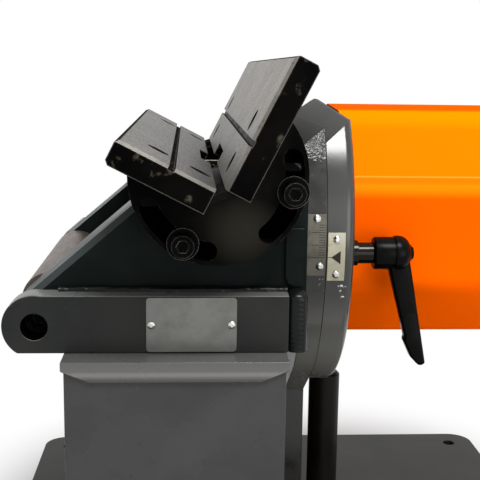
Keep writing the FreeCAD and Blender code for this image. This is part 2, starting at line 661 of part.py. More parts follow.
def make_flange_bolts():
    bolts = []
    washers = []
    for number, (y, z) in enumerate(bolt_spots()):
        seat = guide_x + turn_back + s("washerThick") + s("seatGap")
        bolts.append(cap_screw(f"FlangeBolt{number}", s("boltHead"), s("boltHeadLong"), s("boltThread"),
                               s("turnThick") + s("flangeThick") + s("washerThick"), "x",
                               seat, y, swivel_z + z))
        disc = cylinder(f"FlangeWasher{number}", s("washerRadius"), s("washerThick"), "x",
                        guide_x + turn_back + s("seatGap"), y, swivel_z + z)
        hole = cylinder(f"FlangeWasherHole{number}", s("boltThread") + s("runFit"),
                        s("washerThick") + s("overrun") * 2, "x",
                        guide_x + turn_back - s("overrun"), y, swivel_z + z)
        washers.append(boolean("Cut", f"FlangeWasherRing{number}", disc, hole))
    group("flange_bolts", bolts)
    group("flange_washers", washers)


# V-guide: two discs with a 90 degree notch, two rails and their screws
vertex_z = -s("vertexDrop")
across = Size(math.sqrt(2) / 2, "(sqrt(2) / 2)")


def v_point(along_left, along_right):
    """Point given by its distances from the vertex along the left and right rail."""
    x = (along_right - along_left) * across
    z = (along_right + along_left) * across + vertex_z
    return x, z


def make_disc(label, side):
    body = new_body("Disc" + ("Front" if side < 0 else "Rear"))
    outer = draw_circle(new_sketch(body, "XZ_Plane"), nothing, nothing, s("discRadius"))
    pad(body, outer, s("discThick"))
    # the notch leaves a ridge between the rails, cut flat a little below where they would meet
    far, t, fit = s("discRadius") * 2, s("railThick"), s("runFit")
    left, right = s("leftStart") - fit, s("rightStart") - fit
    flat = -(s("ridgeDrop") / across)
    notch = draw_polygon(new_sketch(body, "XZ_Plane"), [
        v_point(far, -t), v_point(left, -t), v_point(left, flat - left), v_point(flat - right, right),
        v_point(-t, right), v_point(-t, far), v_point(far, far)])
    pocket(body, notch)
    for start, end in (("leftSlotAngle", "leftSlotEndAngle"), ("rightSlotAngle", "rightSlotEndAngle")):
        slot = new_sketch(body, "XZ_Plane")
        arc_slot(slot, s("slotRadius"), s(start), s(end), s("slotWide") / 2)
        pocket(body, slot)
    face = -(s("discHalf") - s("discThick")) if side < 0 else s("discHalf")
    place(body, guide_x, face, guide_z, Y_DOWN, s("guideTilt"))
    bites = []
    for number, (_, x, y, z, lean) in enumerate(rail_screw_spots()):
        if y.number * side > 0:
            bites.append(rail_hole(f"{label}Bite{number}", x, y, z, lean, s("railThread"),
                                   -t - s("railBite") - s("overrun"), s("overrun") - t))
    name = "GuideDisc" + ("Front" if side < 0 else "Rear")
    keep(boolean("Cut", name, body, joined(label + "Bites", bites)), label)


def rail_screw_spots():
    """Rail, place of the screw's axis on the rail's face, and the angle that lays Z on its normal."""
    spots = []
    middle = s("discHalf") - s("discThick") / 2
    for side in (-1, 1):
        for alias in ("screwNear", "screwFar"):
            for rail, lean in (("left", 45), ("right", -45)):
                x, z = v_point(s(alias), nothing) if rail == "left" else v_point(nothing, s(alias))
                spots.append((rail, x, middle * side, z, lean))
    return spots


def rail_hole(name, x, y, z, lean, radius, low, high):
    """Cylinder square to a rail's face, from one height to another measured from that face."""
    item = cylinder(name, radius, high - low)
    angle = Size(float(lean), str(lean))
    out_x, out_z = sine(angle), cosine(angle)
    tilt = s("guideTilt")
    local_x, local_z = x + out_x * low, z + out_z * low
    world_x = local_x * cosine(tilt) - local_z * sine(tilt)
    world_z = local_x * sine(tilt) + local_z * cosine(tilt)
    return place(item, guide_x + world_x, y, guide_z + world_z, AXES["y"], angle - tilt)


def make_rail(label, side, start, wide):
    """Ground steel rail with bevelled edges, a long groove, a cutter notch and sunk screw holes."""
    body = new_body("Rail" + label.split("_")[0].capitalize())
    t, bevel, end = s("railThick"), s("railBevel"), start + wide
    corners = [(start, nothing), (end - bevel, nothing), (end, -bevel), (end, bevel - t),
               (end - bevel, -t), (start, -t)]
    outline = [v_point(a, b) if side < 0 else v_point(b, a) for a, b in corners]
    pad(body, draw_polygon(new_sketch(body, "XZ_Plane"), outline), rail_half * 2, both=True)
    groove = new_sketch(body, "XZ_Plane")
    near, far = s("grooveAt") - s("grooveWide") / 2, s("grooveAt") + s("grooveWide") / 2
    corners = [(near, -s("grooveDeep")), (far, -s("grooveDeep")), (far, s("overrun")), (near, s("overrun"))]
    pocket(body, draw_polygon(groove, [v_point(a, b) if side < 0 else v_point(b, a) for a, b in corners]))
    notch = new_sketch(body, "XZ_Plane", s("eccentric"))
    corners = [(start - s("overrun"), s("overrun")), (s("notchReach"), s("overrun")),
               (s("notchReach"), -t - s("overrun")), (start - s("overrun"), -t - s("overrun"))]
    draw_polygon(notch, [v_point(a, b) if side < 0 else v_point(b, a) for a, b in corners])
    window = pocket(body, notch, s("notchHalf") * 2)
    window.Midplane = True
    at_guide(body)
    holes = []
    for number, (rail, x, y, z, lean) in enumerate(rail_screw_spots()):
        if (rail == "left") == (side < 0):
            holes.append(rail_hole(f"{label}Sink{number}", x, y, z, lean, s("railSink"),
                                   -s("railSinkDeep"), s("overrun")))
            holes.append(rail_hole(f"{label}Hole{number}", x, y, z, lean, s("railThread") + s("runFit"),
                                   -t - s("overrun"), nothing))
    keep(boolean("Cut", body.Name + "Drilled", body, joined(label + "Holes", holes)), label)


def make_rail_screws():
    screws = []
    for number, (_, x, y, z, lean) in enumerate(rail_screw_spots()):
        seat = -s("railSinkDeep")
        head = rail_hole(f"RailHead{number}", x, y, z, lean, s("railHead"), seat, seat + s("railHeadLong"))
        thread = rail_hole(f"RailThread{number}", x, y, z, lean, s("railThread") - s("runFit"),
                           -s("railThick") - s("railBite"), seat)
        socket = rail_hole(f"RailSocket{number}", x, y, z, lean, s("railHead") * s("railSocketShare"),
                           seat + s("railHeadLong") / 2, seat + s("railHeadLong") + s("overrun"))
        solid = joined(f"RailSolid{number}", [head, thread])
        screws.append(boolean("Cut", f"RailScrew{number}", solid, socket))
    group("rail_screws", screws)


def make_rail_keys():
    """Short wedges that close the gap between the rails at both ends."""
    keys = []
    left_line = s("leftStart") / across
    right_line = s("rightStart") / across
    for number, side in enumerate((-1, 1)):
        body = new_body(f"RailKey{number}")
        outline = []
        for depth, sign in ((s("keyTop"), -1), (s("keyTop"), 1), (-s("keyLow"), 1), (-s("keyLow"), -1)):
            x = depth - left_line if sign < 0 else right_line - depth
            outline.append((x, depth + vertex_z))
        pad(body, draw_polygon(new_sketch(body, "XZ_Plane"), outline), s("keyLong"))
        y = s("keyLong") - rail_half + s("softEdge") if side < 0 else rail_half - s("softEdge")
        keys.append(place(body, guide_x, y, guide_z, Y_DOWN, s("guideTilt")))
    group("rail_keys", keys)


def make_disc_clamps():
    screws, washers = [], []
    number = 0
    for sign in (-1, 1):
        for x, z in clamp_spots():
            seat = (s("discHalf") + s("washerThick") + s("runFit")) * sign
            screws.append(cap_screw(f"Clamp{number}", s("clampHead"), s("clampHeadLong"), s("clampThread"),
                                    s("discThick") + s("washerThick") + s("clampBite"), "y",
                                    guide_x + x, seat, guide_z + z, sign))
            start = s("discHalf") + s("runFit") if sign > 0 else seat
            disc = cylinder(f"ClampDisc{number}", s("washerRadius"), s("washerThick"), "y",
                            guide_x + x, start, guide_z + z)
            hole = cylinder(f"ClampHole{number}", s("clampThread") + s("runFit"),
                            s("washerThick") + s("overrun") * 2, "y",
                            guide_x + x, start - s("overrun"), guide_z + z)
            washers.append(boolean("Cut", f"ClampWasher{number}", disc, hole))
            number += 1
    group("disc_clamp_screws", screws)
    group("disc_clamp_washers", washers)


# Motor housing: bent eight-sided sheet cover, a little taller above, closed by an end cover with vents
def octagon(half):
    small = half * tangent(s("octagonAngle"))
    top, bend = half + s("housingRise"), small + s("housingRise")
    return [(half, -small), (half, bend), (small, top), (-small, top),
            (-half, bend), (-half, -small), (-small, -half), (small, -half)]


def make_housing():
    body = new_body("Housing")
    long = s("housingLong") - s("coverThick")
    outer = pad(body, draw_polygon(new_sketch(body, "YZ_Plane"), octagon(housing_half)), long)
    doc.recompute()
    round_outer = soften(body, outer, straight_edges(outer, AXES["x"]), s("housingBend"))
    doc.recompute()
    ends = []
    for number, face in enumerate(round_outer.Shape.Faces, start=1):
        if abs(face.normalAt(0, 0).dot(AXES["x"])) > 1 - 1e-6:
            ends.append(f"Face{number}")
    shell = body.newObject("PartDesign::Thickness", "HousingShell")
    shell.Base = (round_outer, ends)
    bind(shell, "Value", s("housingWall"))
    shell.Reversed = True
    body.Tip = shell
    place(body, guide_x + turn_back, nothing, swivel_z, AXES["x"], s("swivelRestAngle"))
    keep(body, "motor_housing")


def make_end_cover():
    body = new_body("EndCover")
    outer = pad(body, draw_polygon(new_sketch(body, "YZ_Plane"), octagon(housing_half)), s("coverThick"))
    doc.recompute()
    soften(body, outer, straight_edges(outer, AXES["x"]), s("housingBend"))
    vents = new_sketch(body, "YZ_Plane")
    span = s("ventPitch") * (int(s("ventCount").number) - 1) / 2
    for i in range(int(s("ventCount").number)):
        z = s("ventPitch") * i - span
        half = s("ventLong") / 2
        shift = s("switchWide") * s("ventShiftShare")
        draw_polygon(vents, [(shift - half, z), (shift + half, z), (shift + half, z + s("ventWide")),
                             (shift - half, z + s("ventWide"))])
    pocket(body, vents)
    place(body, guide_x + housing_end - s("coverThick"), nothing, swivel_z, AXES["x"], s("swivelRestAngle"))
    keep(body, "end_cover")


def make_motor():
    """Barrel with the stator inside, rear bell and bearings, all about the spindle's axis."""
    out = barrel_radius
    inner = out - s("barrelWall")
    barrel = ring("Barrel", turn_back, bell_at, inner, out)
    keep(at_spindle(barrel), "motor_barrel")
    start = turn_back + s("statorAt")
    stator = ring("Stator", start, start + stator_long, stator_bore, inner - s("runFit"))
    keep(at_spindle(stator), "stator")
    seat = s("tailBearingOut") + s("runFit")
    hole, bell_end = s("tailRadius") + s("softEdge"), bell_at + s("bellThick")
    lip = bell_at - s("tailBearingLong")
    bell = turned("Bell", [
        (bell_at, hole), (bell_end, hole), (bell_end, out), (bell_at, out), (bell_at, inner),
        (lip, inner - s("runFit")), (lip, seat), (bell_at, seat)])
    keep(at_spindle(bell), "rear_bell")
    front_at = s("noseLeft") + s("softEdge")
    front = ring("FrontBearing", front_at, front_at + s("bearingLong"),
                 s("shaftRadius") + s("runFit"), s("bearingOut"))
    keep(at_spindle(front), "front_bearing")
    rear = ring("RearBearing", bell_at - s("tailBearingLong"), bell_at, s("tailRadius") + s("runFit"),
                s("tailBearingOut"))
    keep(at_spindle(rear), "rear_bearing")


def make_spindle():
    rotor_at = turn_back + s("statorAt")
    left = -s("cutterWide") / 2
    shoulder = bell_at - s("tailBearingLong")
    shaft = turned("Shaft", [
        (left, nothing), (left, s("shaftRadius")), (shoulder, s("shaftRadius")), (shoulder, s("tailRadius")),
        (fan_end + s("softEdge"), s("tailRadius")), (fan_end + s("softEdge"), nothing)])
    tap = draw_circle(new_sketch(shaft, "YZ_Plane", left), nothing, nothing, s("capBolt") + s("runFit"))
    pocket(shaft, tap, s("capBoltBite"), flip=True)
    keep(at_spindle(shaft), "spindle_shaft")
    rotor = ring("Rotor", rotor_at, rotor_at + stator_long, s("shaftRadius") + s("runFit"),
                 stator_bore - s("rotorGap"))
    keep(at_spindle(rotor), "rotor")
    fan = new_body("Fan")
    fan_at = fan_end - s("fanLong")
    hub = s("fanHub") + s("fanHubWall")
    pad(fan, draw_circle(new_sketch(fan, "YZ_Plane", fan_at), nothing, nothing, hub), s("fanLong"))
    blade = new_sketch(fan, "YZ_Plane", fan_at)
    half, reach = s("bladeThick") / 2, barrel_radius - s("fanShort")
    draw_polygon(blade, [(s("fanHub"), -half), (reach, -half), (reach, half), (s("fanHub"), half)])
    blades = pad(fan, blade, s("fanLong"))
    pattern = fan.newObject("PartDesign::PolarPattern", "FanBlades")
    pattern.Originals = [blades]
    pattern.Axis = (blade, ["N_Axis"])
    pattern.Angle = 360
    bind(pattern, "Occurrences", s("bladeCount"))
    fan.Tip = pattern
    pocket(fan, draw_circle(new_sketch(fan, "YZ_Plane"), nothing, nothing, s("tailRadius") + s("runFit")))
    keep(at_spindle(fan), "cooling_fan")


def make_cutter():
    """Milling head with square inserts set in pockets round its rim."""
    half = s("cutterWide") / 2
    body = turned("Cutter", [(-half, s("shaftRadius") + s("runFit")), (half, s("shaftRadius") + s("runFit")),
                             (half, s("cutterBody")), (-half, s("cutterBody"))])
    gullet = new_sketch(body, "YZ_Plane")
    side, thick = s("insertSide"), s("insertThick")
    low = s("cutterRadius") - side
    draw_polygon(gullet, [(-thick, low), (side, low), (side, s("cutterRadius") + s("overrun")),
                          (-thick, s("cutterRadius") + s("overrun"))])
    cut = pocket(body, gullet)
    hole = draw_circle(new_sketch(body, "XZ_Plane", thick), nothing, low + side / 2,
                       s("insertScrew") + s("runFit"))
    tapped = pocket(body, hole, s("insertBite") + s("softEdge"), flip=True)
    pattern = body.newObject("PartDesign::PolarPattern", "Gullets")
    pattern.Originals = [cut, tapped]
    pattern.Axis = (gullet, ["N_Axis"])
    pattern.Angle = 360
    bind(pattern, "Occurrences", s("insertCount"))
    body.Tip = pattern
    keep(at_spindle(body), "cutter_head")
    inserts, screws = [], []
    for i in range(sizes["insertCount"]):
        angle = Size(i * 360 / sizes["insertCount"], f"({i} * 360 / Sizes.insertCount)")
        plate = new_body(f"Insert{i}")
        outline = draw_polygon(new_sketch(plate, "YZ_Plane"), [
            (-thick, low), (nothing, low), (nothing, s("cutterRadius")), (-thick, s("cutterRadius"))])
        pad(plate, outline, s("cutterWide") - s("softEdge"), both=True)
        pocket(plate, draw_circle(new_sketch(plate, "XZ_Plane"), nothing, low + side / 2,
                                  s("insertScrew") + s("runFit")))
        inserts.append(place(plate, axis=AXES["x"], angle=angle))
        screw = new_body(f"InsertScrew{i}")
        sketch = draw_circle(new_sketch(screw, "XZ_Plane"), nothing, low + side / 2, s("insertScrew"))
        pad(screw, sketch, thick + s("insertBite"))
        pad(screw, draw_circle(new_sketch(screw, "XZ_Plane"), nothing, low + side / 2,
                               s("insertScrew") + s("softEdge")), s("softEdge"), flip=True)
        screws.append(place(screw, axis=AXES["x"], angle=angle))
    at_spindle(group("cutter_inserts", inserts))
    at_spindle(group("insert_screws", screws))
    cap = ring("Cap", -half - s("capThick"), -half, s("capBolt") + s("runFit"), s("capRadius"))
    keep(at_spindle(cap), "cutter_cap")
    seat = -half - s("capThick")
    head = s("capBolt") * s("capHeadShare")
    bolt = turned("CapBolt", [
        (seat - s("capBolt"), nothing), (seat - s("capBolt"), head), (seat, head),
        (seat, s("capBolt")), (s("capBoltLong"), s("capBolt")), (s("capBoltLong"), nothing)])
    hexagon = new_sketch(bolt, "YZ_Plane", seat - s("capBolt"))
    turns = [math.radians(60 * i) for i in range(6)]
    socket = s("capBolt") * s("capSocketShare")
    draw_polygon(hexagon, [(socket * math.cos(a), socket * math.sin(a)) for a in turns])
    pocket(bolt, hexagon, s("capBolt") / 2, flip=True)
    keep(at_spindle(bolt), "cutter_bolt")


# Indicator plates on the flanges' rims, bent to the rim
def rim_plate(name, left, wide, above, below, tilt):
    """Thin plate on a rim, from an angle above the swivel's height to one below it."""
    body = new_body(name)
    sketch = new_sketch(body, "XY_Plane")
    inner = s("flangeRadius") + s("runFit")
    draw_polygon(sketch, [(left, -inner), (left + wide, -inner), (left + wide, -inner - s("plateThick")),
                          (left, -inner - s("plateThick"))])
    feature = body.newObject("PartDesign::Revolution", name + "Turn")
    feature.Profile = sketch
    feature.ReferenceAxis = (sketch, ["H_Axis"])
    bind(feature, "Angle", above + below)
    feature.Reversed = True
    body.Tip = feature
    return place(body, guide_x, nothing, swivel_z, AXES["x"], tilt + below if tilt else below)


def rivet_head(name):
    """Domed rivet head that stands on its origin along Z."""
    high, radius = s("rivetHigh"), s("rivetRadius")
    return turned(name, [(nothing, nothing), (nothing, radius), (high / 2, radius * s("rivetRoundShare")),
                         (high, radius * s("rivetCrownShare")), (high, nothing)], along="z")


def rim_rivets(name, spots):
    """Rivet heads on a rim plate, each at an X and at an angle below the swivel's height."""
    rivets = []
    for number, (x, angle) in enumerate(spots):
        seat = s("flangeRadius") + s("runFit") + s("plateThick")
        rivets.append(place(rivet_head(f"{name}{number}"), guide_x + x, -(seat * cosine(angle)),
                            swivel_z - seat * sine(angle), AXES["x"], Size(90.0, "90") + angle))
    return rivets


def rim_angle(length):
    """Angle that a length takes up along the flange's rim."""
    return Size(math.degrees(length.number / s("flangeRadius").number),
                f"(180 / pi * {length.formula} / {s('flangeRadius').formula})")


def make_plates():
    left = s("flangeLeft") + s("softEdge")
    ruler = rim_plate("Ruler", left, s("rulerWide"), s("rulerTopAngle"), s("rulerLowAngle"), None)
    keep(ruler, "depth_ruler")
    rivet_x = left + s("rulerRivetAt")
    group("ruler_rivets", rim_rivets("RulerRivet", [
        (rivet_x, rim_angle(s("rulerRivetTop")) - s("rulerTopAngle")),
        (rivet_x + s("rulerRivetStep"), s("rulerLowAngle") - rim_angle(s("rulerRivetLow")))]))
    left = turn_face + s("softEdge") / 2
    rest = s("swivelRestAngle")
    pointer = rim_plate("Pointer", left, s("pointerWide"), s("pointerTopAngle") + rest,
                        s("pointerLowAngle") - rest, rest)
    keep(pointer, "depth_pointer")
    edge = rim_angle(s("pointerRivetInset"))
    rivet_x = left + s("pointerRivetAt")
    group("pointer_rivets", rim_rivets("PointerRivet", [
        (rivet_x, edge - s("pointerTopAngle")), (rivet_x, s("pointerLowAngle") - edge)]))


def make_notice_plate():
    body = new_body("Notice")
    left = -s("noticeLeft")
    top = s("barHigh") - s("headDrop") - s("noticeTopGap")
    sketch = draw_polygon(new_sketch(body, "XZ_Plane"), [
        (left, top - s("noticeHigh")), (left + s("noticeWide"), top - s("noticeHigh")),
        (left + s("noticeWide"), top), (left, top)])
    plate = pad(body, sketch, s("plateThick"))
    doc.recompute()
    soften(body, plate, straight_edges(plate, AXES["y"]), s("noticeCorner"))
    place(body, guide_x, -bar_face, guide_z)
    keep(body, "notice_plate")
    rivets = []
    inset = s("noticeRivetInset")
    for number, x in enumerate((left + inset, left + s("noticeWide") - inset)):
        rivets.append(place(rivet_head(f"NoticeRivet{number}"), guide_x + x, -bar_face - s("plateThick"),
                            guide_z + top - s("noticeHigh") / 2, AXES["x"], 90))
    group("notice_rivets", rivets)


# Clamp lever on its stud
def make_lever():
    gap = s("seatGap")
    washer_at = turn_back + gap
    sleeve_at = washer_at + s("leverWasherThick")
    hub_at = sleeve_at + s("sleeveLong") + gap
    hub_end = hub_at + s("hubLong")
    stud_end = s("flangeLeft") - s("studBite")

    def at_lever(item):
        return place(item, guide_x, lever_y, swivel_z + lever_z)

    stud = turned("Stud", [
        (stud_end, nothing), (stud_end, s("studThread")), (washer_at, s("studThread")),
        (washer_at, s("leverWasher")), (sleeve_at, s("leverWasher")), (sleeve_at, s("sleeveRadius")),
        (sleeve_at + s("sleeveLong"), s("sleeveRadius")), (sleeve_at + s("sleeveLong"), s("studThread")),
        (hub_end - s("capButtonIn"), s("studThread")), (hub_end - s("capButtonIn"), nothing)])
    keep(at_lever(stud), "lever_stud")
    bore = s("studThread") + s("runFit")
    throat = s("capButton") + s("seatGap")
    seam, shoulder = hub_at + s("hubSeamAt"), hub_at + s("domeShoulderAt")
    lever = turned("Lever", [
        (hub_at, bore), (hub_at, s("hubRadius")), (seam, s("hubRadius")), (seam, s("domeRadius")),
        (shoulder, s("domeShoulder")), (hub_end, s("domeEnd")), (hub_end, throat),
        (hub_end - s("capButtonIn"), throat), (hub_end - s("capButtonIn"), bore)])
    arm = new_sketch(lever, "XZ_Plane")
    root = hub_at + s("armRootAt")
    root_right = root + s("armRootWide")
    tip, knee, low = root_right + s("armLean"), root + s("armKnee"), s("armTipCorner") - s("armDrop")
    draw_polygon(arm, [
        (root, -s("armInside")), (hub_end - s("capButtonIn"), -s("armInside")), (root_right, -s("hubRadius")),
        (tip, low), (tip - s("armTipCorner"), -s("armDrop")),
        (tip - s("armTipCorner") - s("armTipFlat"), -s("armDrop")),
        (tip - s("armTipWide"), s("armTipRise") - s("armDrop")), (knee - s("armHeel"), -s("armHeelDrop")),
        (knee, -s("armKneeDrop")), (root, -s("hubRadius"))])
    pad(lever, arm, s("armWide"), both=True)
    keep(at_lever(lever), "clamp_lever")
    start, end = hub_end - s("capButtonIn"), hub_end + s("capButtonOut")
    button = turned("Button", [
        (start, nothing), (start, s("capButton")), (end, s("capButton")), (end, nothing)])
    keep(at_lever(button), "lever_screw")


# Post under the turning flange's rim, beside the fixed flange's leg
def make_post():
    low, top = s("footThick"), swivel_z - s("flangeRadius") - s("seatGap")
    edge, foot_top = s("postEdge"), low + s("postFootThick")
    post = turned("Post", [
        (low, nothing), (low, s("postFootRadius")), (foot_top, s("postFootRadius")),
        (foot_top, s("postRadius")), (top - edge, s("postRadius")), (top, s("postRadius") - edge),
        (top, nothing)], along="z")
    beside_leg = guide_x + turn_face + s("seatGap") + s("postFootRadius")
    keep(place(post, beside_leg), "support_post")


# Switch box on the end cover, with its two buttons and the cable gland
def make_switch():
    face = guide_x + housing_end
    wide, high, deep = s("switchWide"), s("switchHigh"), s("switchDeep")
    y = -wide - s("switchDrop")
    wall, bore = s("sheetWall"), s("buttonRadius") + s("seatGap")
    shell = box("SwitchShell", deep, wide, high, nothing, y, -high / 2)
    room = box("SwitchRoom", deep - wall * 2, wide - wall * 2, high - wall * 2,
               wall, y + wall, wall - high / 2)
    middle = y + wide / 2
    bores = [cylinder(f"SwitchBore{number}", bore, wall + s("overrun") * 2, "x",
                      deep - wall - s("overrun"), middle, s("buttonPitch") / 2 * sign)
             for number, sign in enumerate((-1, 1))]
    hollow = boolean("Cut", "SwitchHollow", shell, room)
    case = boolean("Cut", "SwitchCase", hollow, joined("SwitchBores", bores))

    def at_switch(item):
        return place(item, face, nothing, swivel_z, AXES["x"], s("swivelRestAngle"))

    keep(at_switch(case), "switch_box")
    rings = []
    for number, (sign, label) in enumerate(((1, "start_button"), (-1, "stop_button"))):
        z = s("buttonPitch") / 2 * sign
        out = deep + s("buttonTravel") + s("collarRingLong") + s("softEdge")
        cap = cylinder(f"ButtonCap{number}", s("buttonRadius"), s("buttonLong"), "x",
                       out - s("buttonLong"), middle, z)
        at_switch(group(label, [cap]))
        outer = cylinder(f"ButtonRing{number}", s("collarRing"), s("collarRingLong"), "x", deep, middle, z)
        inner = cylinder(f"ButtonRingHole{number}", bore, s("collarRingLong") + s("overrun") * 2, "x",
                         deep - s("overrun"), middle, z)
        rings.append(boolean("Cut", f"ButtonCollar{number}", outer, inner))
    at_switch(group("button_rings", rings))
    neck = s("glandRadius") * s("glandNeckShare")
    gland = turned("Gland", [
        (nothing, nothing), (nothing, s("glandRadius")), (s("glandLong") / 2, s("glandRadius")),
        (s("glandLong"), neck), (s("glandLong"), nothing)], along="z")
    place(gland, deep / 2, middle, -high / 2, AXES["x"], 180)
    at_switch(group("cable_gland", [gland]))


def make_corner_welds():
    """Weld fillets that run down the outer corners between bar and web."""
    welds = []
    high = s("headDrop") - s("padLowDrop")
    for number, side in enumerate((-1, 1)):
        body = new_body(f"CornerWeld{number}")
        inner, outer = web_face * side, bar_face * side
        start, end = s("barRight"), s("flangeLeft") - s("softEdge")
        share = s("weldSagShare")
        fillet = draw_polygon(new_sketch(body, "XY_Plane"), [
            (start, inner), (end, inner), (start + (end - start) * share, inner + (outer - inner) * share),
            (start, outer)])
        pad(body, fillet, high)
        welds.append(place(body, guide_x, nothing, guide_z - s("headDrop")))
    group("corner_welds", welds)


make_foot_plate()
make_cabinet()
make_lid()
make_bar("front_bar", -1)
make_bar("rear_bar", 1)
make_web("front_web", -1)
make_web("rear_web", 1)
make_tie()
make_head_flange()
make_turn_flange()
make_flange_bolts()
make_disc("front_disc", -1)
make_disc("rear_disc", 1)
make_rail("left_rail", -1, s("leftStart"), s("leftWide"))
make_rail("right_rail", 1, s("rightStart"), s("rightWide"))
make_rail_screws()
make_rail_keys()
make_disc_clamps()
make_housing()
make_end_cover()
make_motor()
make_spindle()
make_cutter()
make_plates()
make_notice_plate()
make_lever()
make_post()
make_switch()
make_corner_welds()

doc.recompute()
for item in doc.Objects:
    if "Invalid" in item.State or "Error" in item.State:
        raise RuntimeError(f"{item.Name} failed: {item.State}")
for item in parts:
    shape = item.Shape
    if shape.isNull() or not shape.isValid() or not shape.Solids:
        raise RuntimeError(f"{item.Label} has no valid solid")
for item in parts:
    item.Shape.exportStep(f"parts/{item.Label}.step")
    bounds = item.Shape.BoundBox
    print(f"{item.Label}: {len(item.Shape.Solids)} solids, volume {item.Shape.Volume:.0f}, "
          f"x {bounds.XMin:.1f}..{bounds.XMax:.1f} y {bounds.YMin:.1f}..{bounds.YMax:.1f} "
          f"z {bounds.ZMin:.1f}..{bounds.ZMax:.1f}")
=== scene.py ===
import json
import math
import bpy
import bmesh
import numpy as np
from mathutils import Matrix

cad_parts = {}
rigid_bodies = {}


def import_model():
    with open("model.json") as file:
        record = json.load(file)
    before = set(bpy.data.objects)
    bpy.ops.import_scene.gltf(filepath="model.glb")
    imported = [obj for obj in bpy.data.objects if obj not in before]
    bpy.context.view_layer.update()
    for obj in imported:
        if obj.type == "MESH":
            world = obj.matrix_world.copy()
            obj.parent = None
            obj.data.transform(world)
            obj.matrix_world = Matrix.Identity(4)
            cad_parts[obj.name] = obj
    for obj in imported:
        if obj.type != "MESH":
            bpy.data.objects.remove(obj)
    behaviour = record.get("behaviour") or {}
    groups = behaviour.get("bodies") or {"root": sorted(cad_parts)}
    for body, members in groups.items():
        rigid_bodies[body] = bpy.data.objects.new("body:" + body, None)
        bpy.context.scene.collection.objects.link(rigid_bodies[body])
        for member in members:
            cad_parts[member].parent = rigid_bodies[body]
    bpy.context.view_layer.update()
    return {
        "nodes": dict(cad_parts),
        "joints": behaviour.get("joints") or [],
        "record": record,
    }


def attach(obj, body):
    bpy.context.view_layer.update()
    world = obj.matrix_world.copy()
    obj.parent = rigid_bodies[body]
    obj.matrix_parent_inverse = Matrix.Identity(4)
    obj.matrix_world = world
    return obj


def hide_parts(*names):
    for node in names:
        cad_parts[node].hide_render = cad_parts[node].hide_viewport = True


# Edge chamfering machine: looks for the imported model. Metres throughout, +Z up, front is -Y.

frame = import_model()
nodes = frame["nodes"]
print("frame loaded:", len(nodes), "nodes")

mm = 0.001
bodyOf = {node: body for body, members in frame["record"]["behaviour"]["bodies"].items() for node in members}
slotOf = {part["node"]: part["material_slot"] for part in frame["record"]["subparts"]}
jointAt = {joint["name"]: joint for joint in frame["joints"]}

# The places that the details are worked out from, read off the frame, and the sizes they share.
# The guide's axis is its x and z in mm
guideAxis = [part / mm for part in jointAt["guide_tilt"]["pos_m"][::2]]
swivelCentre = np.array(jointAt["depth_swivel"]["pos_m"])
leverCentre = np.array(jointAt["lever_turn"]["pos_m"])
guideTilt = math.radians(18)
flangeRadius = 158 * mm


def colour(code):
    # sRGB hex to linear: below 0.04045 divided by 12.92, above it the 2.4 power curve
    parts = [int(code[i:i + 2], 16) / 255 for i in (1, 3, 5)]
    return (*[p / 12.92 if p <= 0.04045 else ((p + 0.055) / 1.055) ** 2.4 for p in parts], 1.0)


def perMetre(size):
    # A noise scale whose features are about this many millimetres across
    return 1 / (size * mm)


def add(tree, kind, settings, links, output=0):
    # One node: its settings, then each socket's link or value. Gives back one output
    node = tree.nodes.new(kind)
    for name, value in settings.items():
        setattr(node, name, value)
    for name, value in links.items():
        if isinstance(value, bpy.types.NodeSocket):
            tree.links.new(value, node.inputs[name])
        else:
            node.inputs[name].default_value = value
    return node.outputs[output] if len(node.outputs) else None


smooth = {"interpolation_type": "SMOOTHSTEP"}
rgba = {"data_type": "RGBA"}

# Noise keeps mostly between 0.3 and 0.7. Each band is the stretch of it that a pattern comes up over
band = {
    "even": {"From Min": 0.3, "From Max": 0.7},
    "smudge": {"From Min": 0.3, "From Max": 0.72},
    "filmAndSheen": {"From Min": 0.38, "From Max": 0.72},
    "oilAndShade": {"From Min": 0.3, "From Max": 0.75},
    "rubbed": {"From Min": 0.58, "From Max": 0.72},
    "pale": {"From Min": 0.35, "From Max": 0.68},
    "stain": {"From Min": 0.54, "From Max": 0.75},
}
# How far the roughness wanders from a look's own, for each kind of finish
glossWander = {"paint": (-0.06, 0.08), "steel": (-0.06, 0.1), "oxide": (0, 0.15), "plastic": (0, 0.08)}


def newMaterial(name):
    material = bpy.data.materials.new(name)
    material.use_nodes = True
    tree = material.node_tree
    tree.nodes.clear()
    return material, tree, add(tree, "ShaderNodeTexCoord", {}, {}, "Object")


def nearPoint(tree, place, centre, outer, inner, share=1.0):
    # The share within the inner radius of a point, falling to nothing at the outer one, all in mm
    away = add(tree, "ShaderNodeVectorMath", {"operation": "DISTANCE"},
               {0: place, 1: [part * mm for part in centre]}, "Value")
    return add(tree, "ShaderNodeMapRange", smooth,
               {"Value": away, "From Min": outer * mm, "From Max": inner * mm, "To Max": share})


def nearAxis(tree, place, x, z, inner, outer, share):
    # The same round a Y axis at x, z
    flat = add(tree, "ShaderNodeVectorMath", {"operation": "MULTIPLY"}, {0: place, 1: (1, 0, 1)})
    return nearPoint(tree, flat, (x, 0, z), outer, inner, share)


# Where paint wears: the cosines of the rounded normal's lean, how softly a flake ends, how much of a spot's
# radius is full, and the sums of spot and noise at which a chip starts and is whole
wearing = {"leanFrom": 0.995, "leanTo": 0.86, "flakeSoft": 0.12, "spotCore": 0.3,
           "chipFrom": 0.95, "chipTo": 1.02}


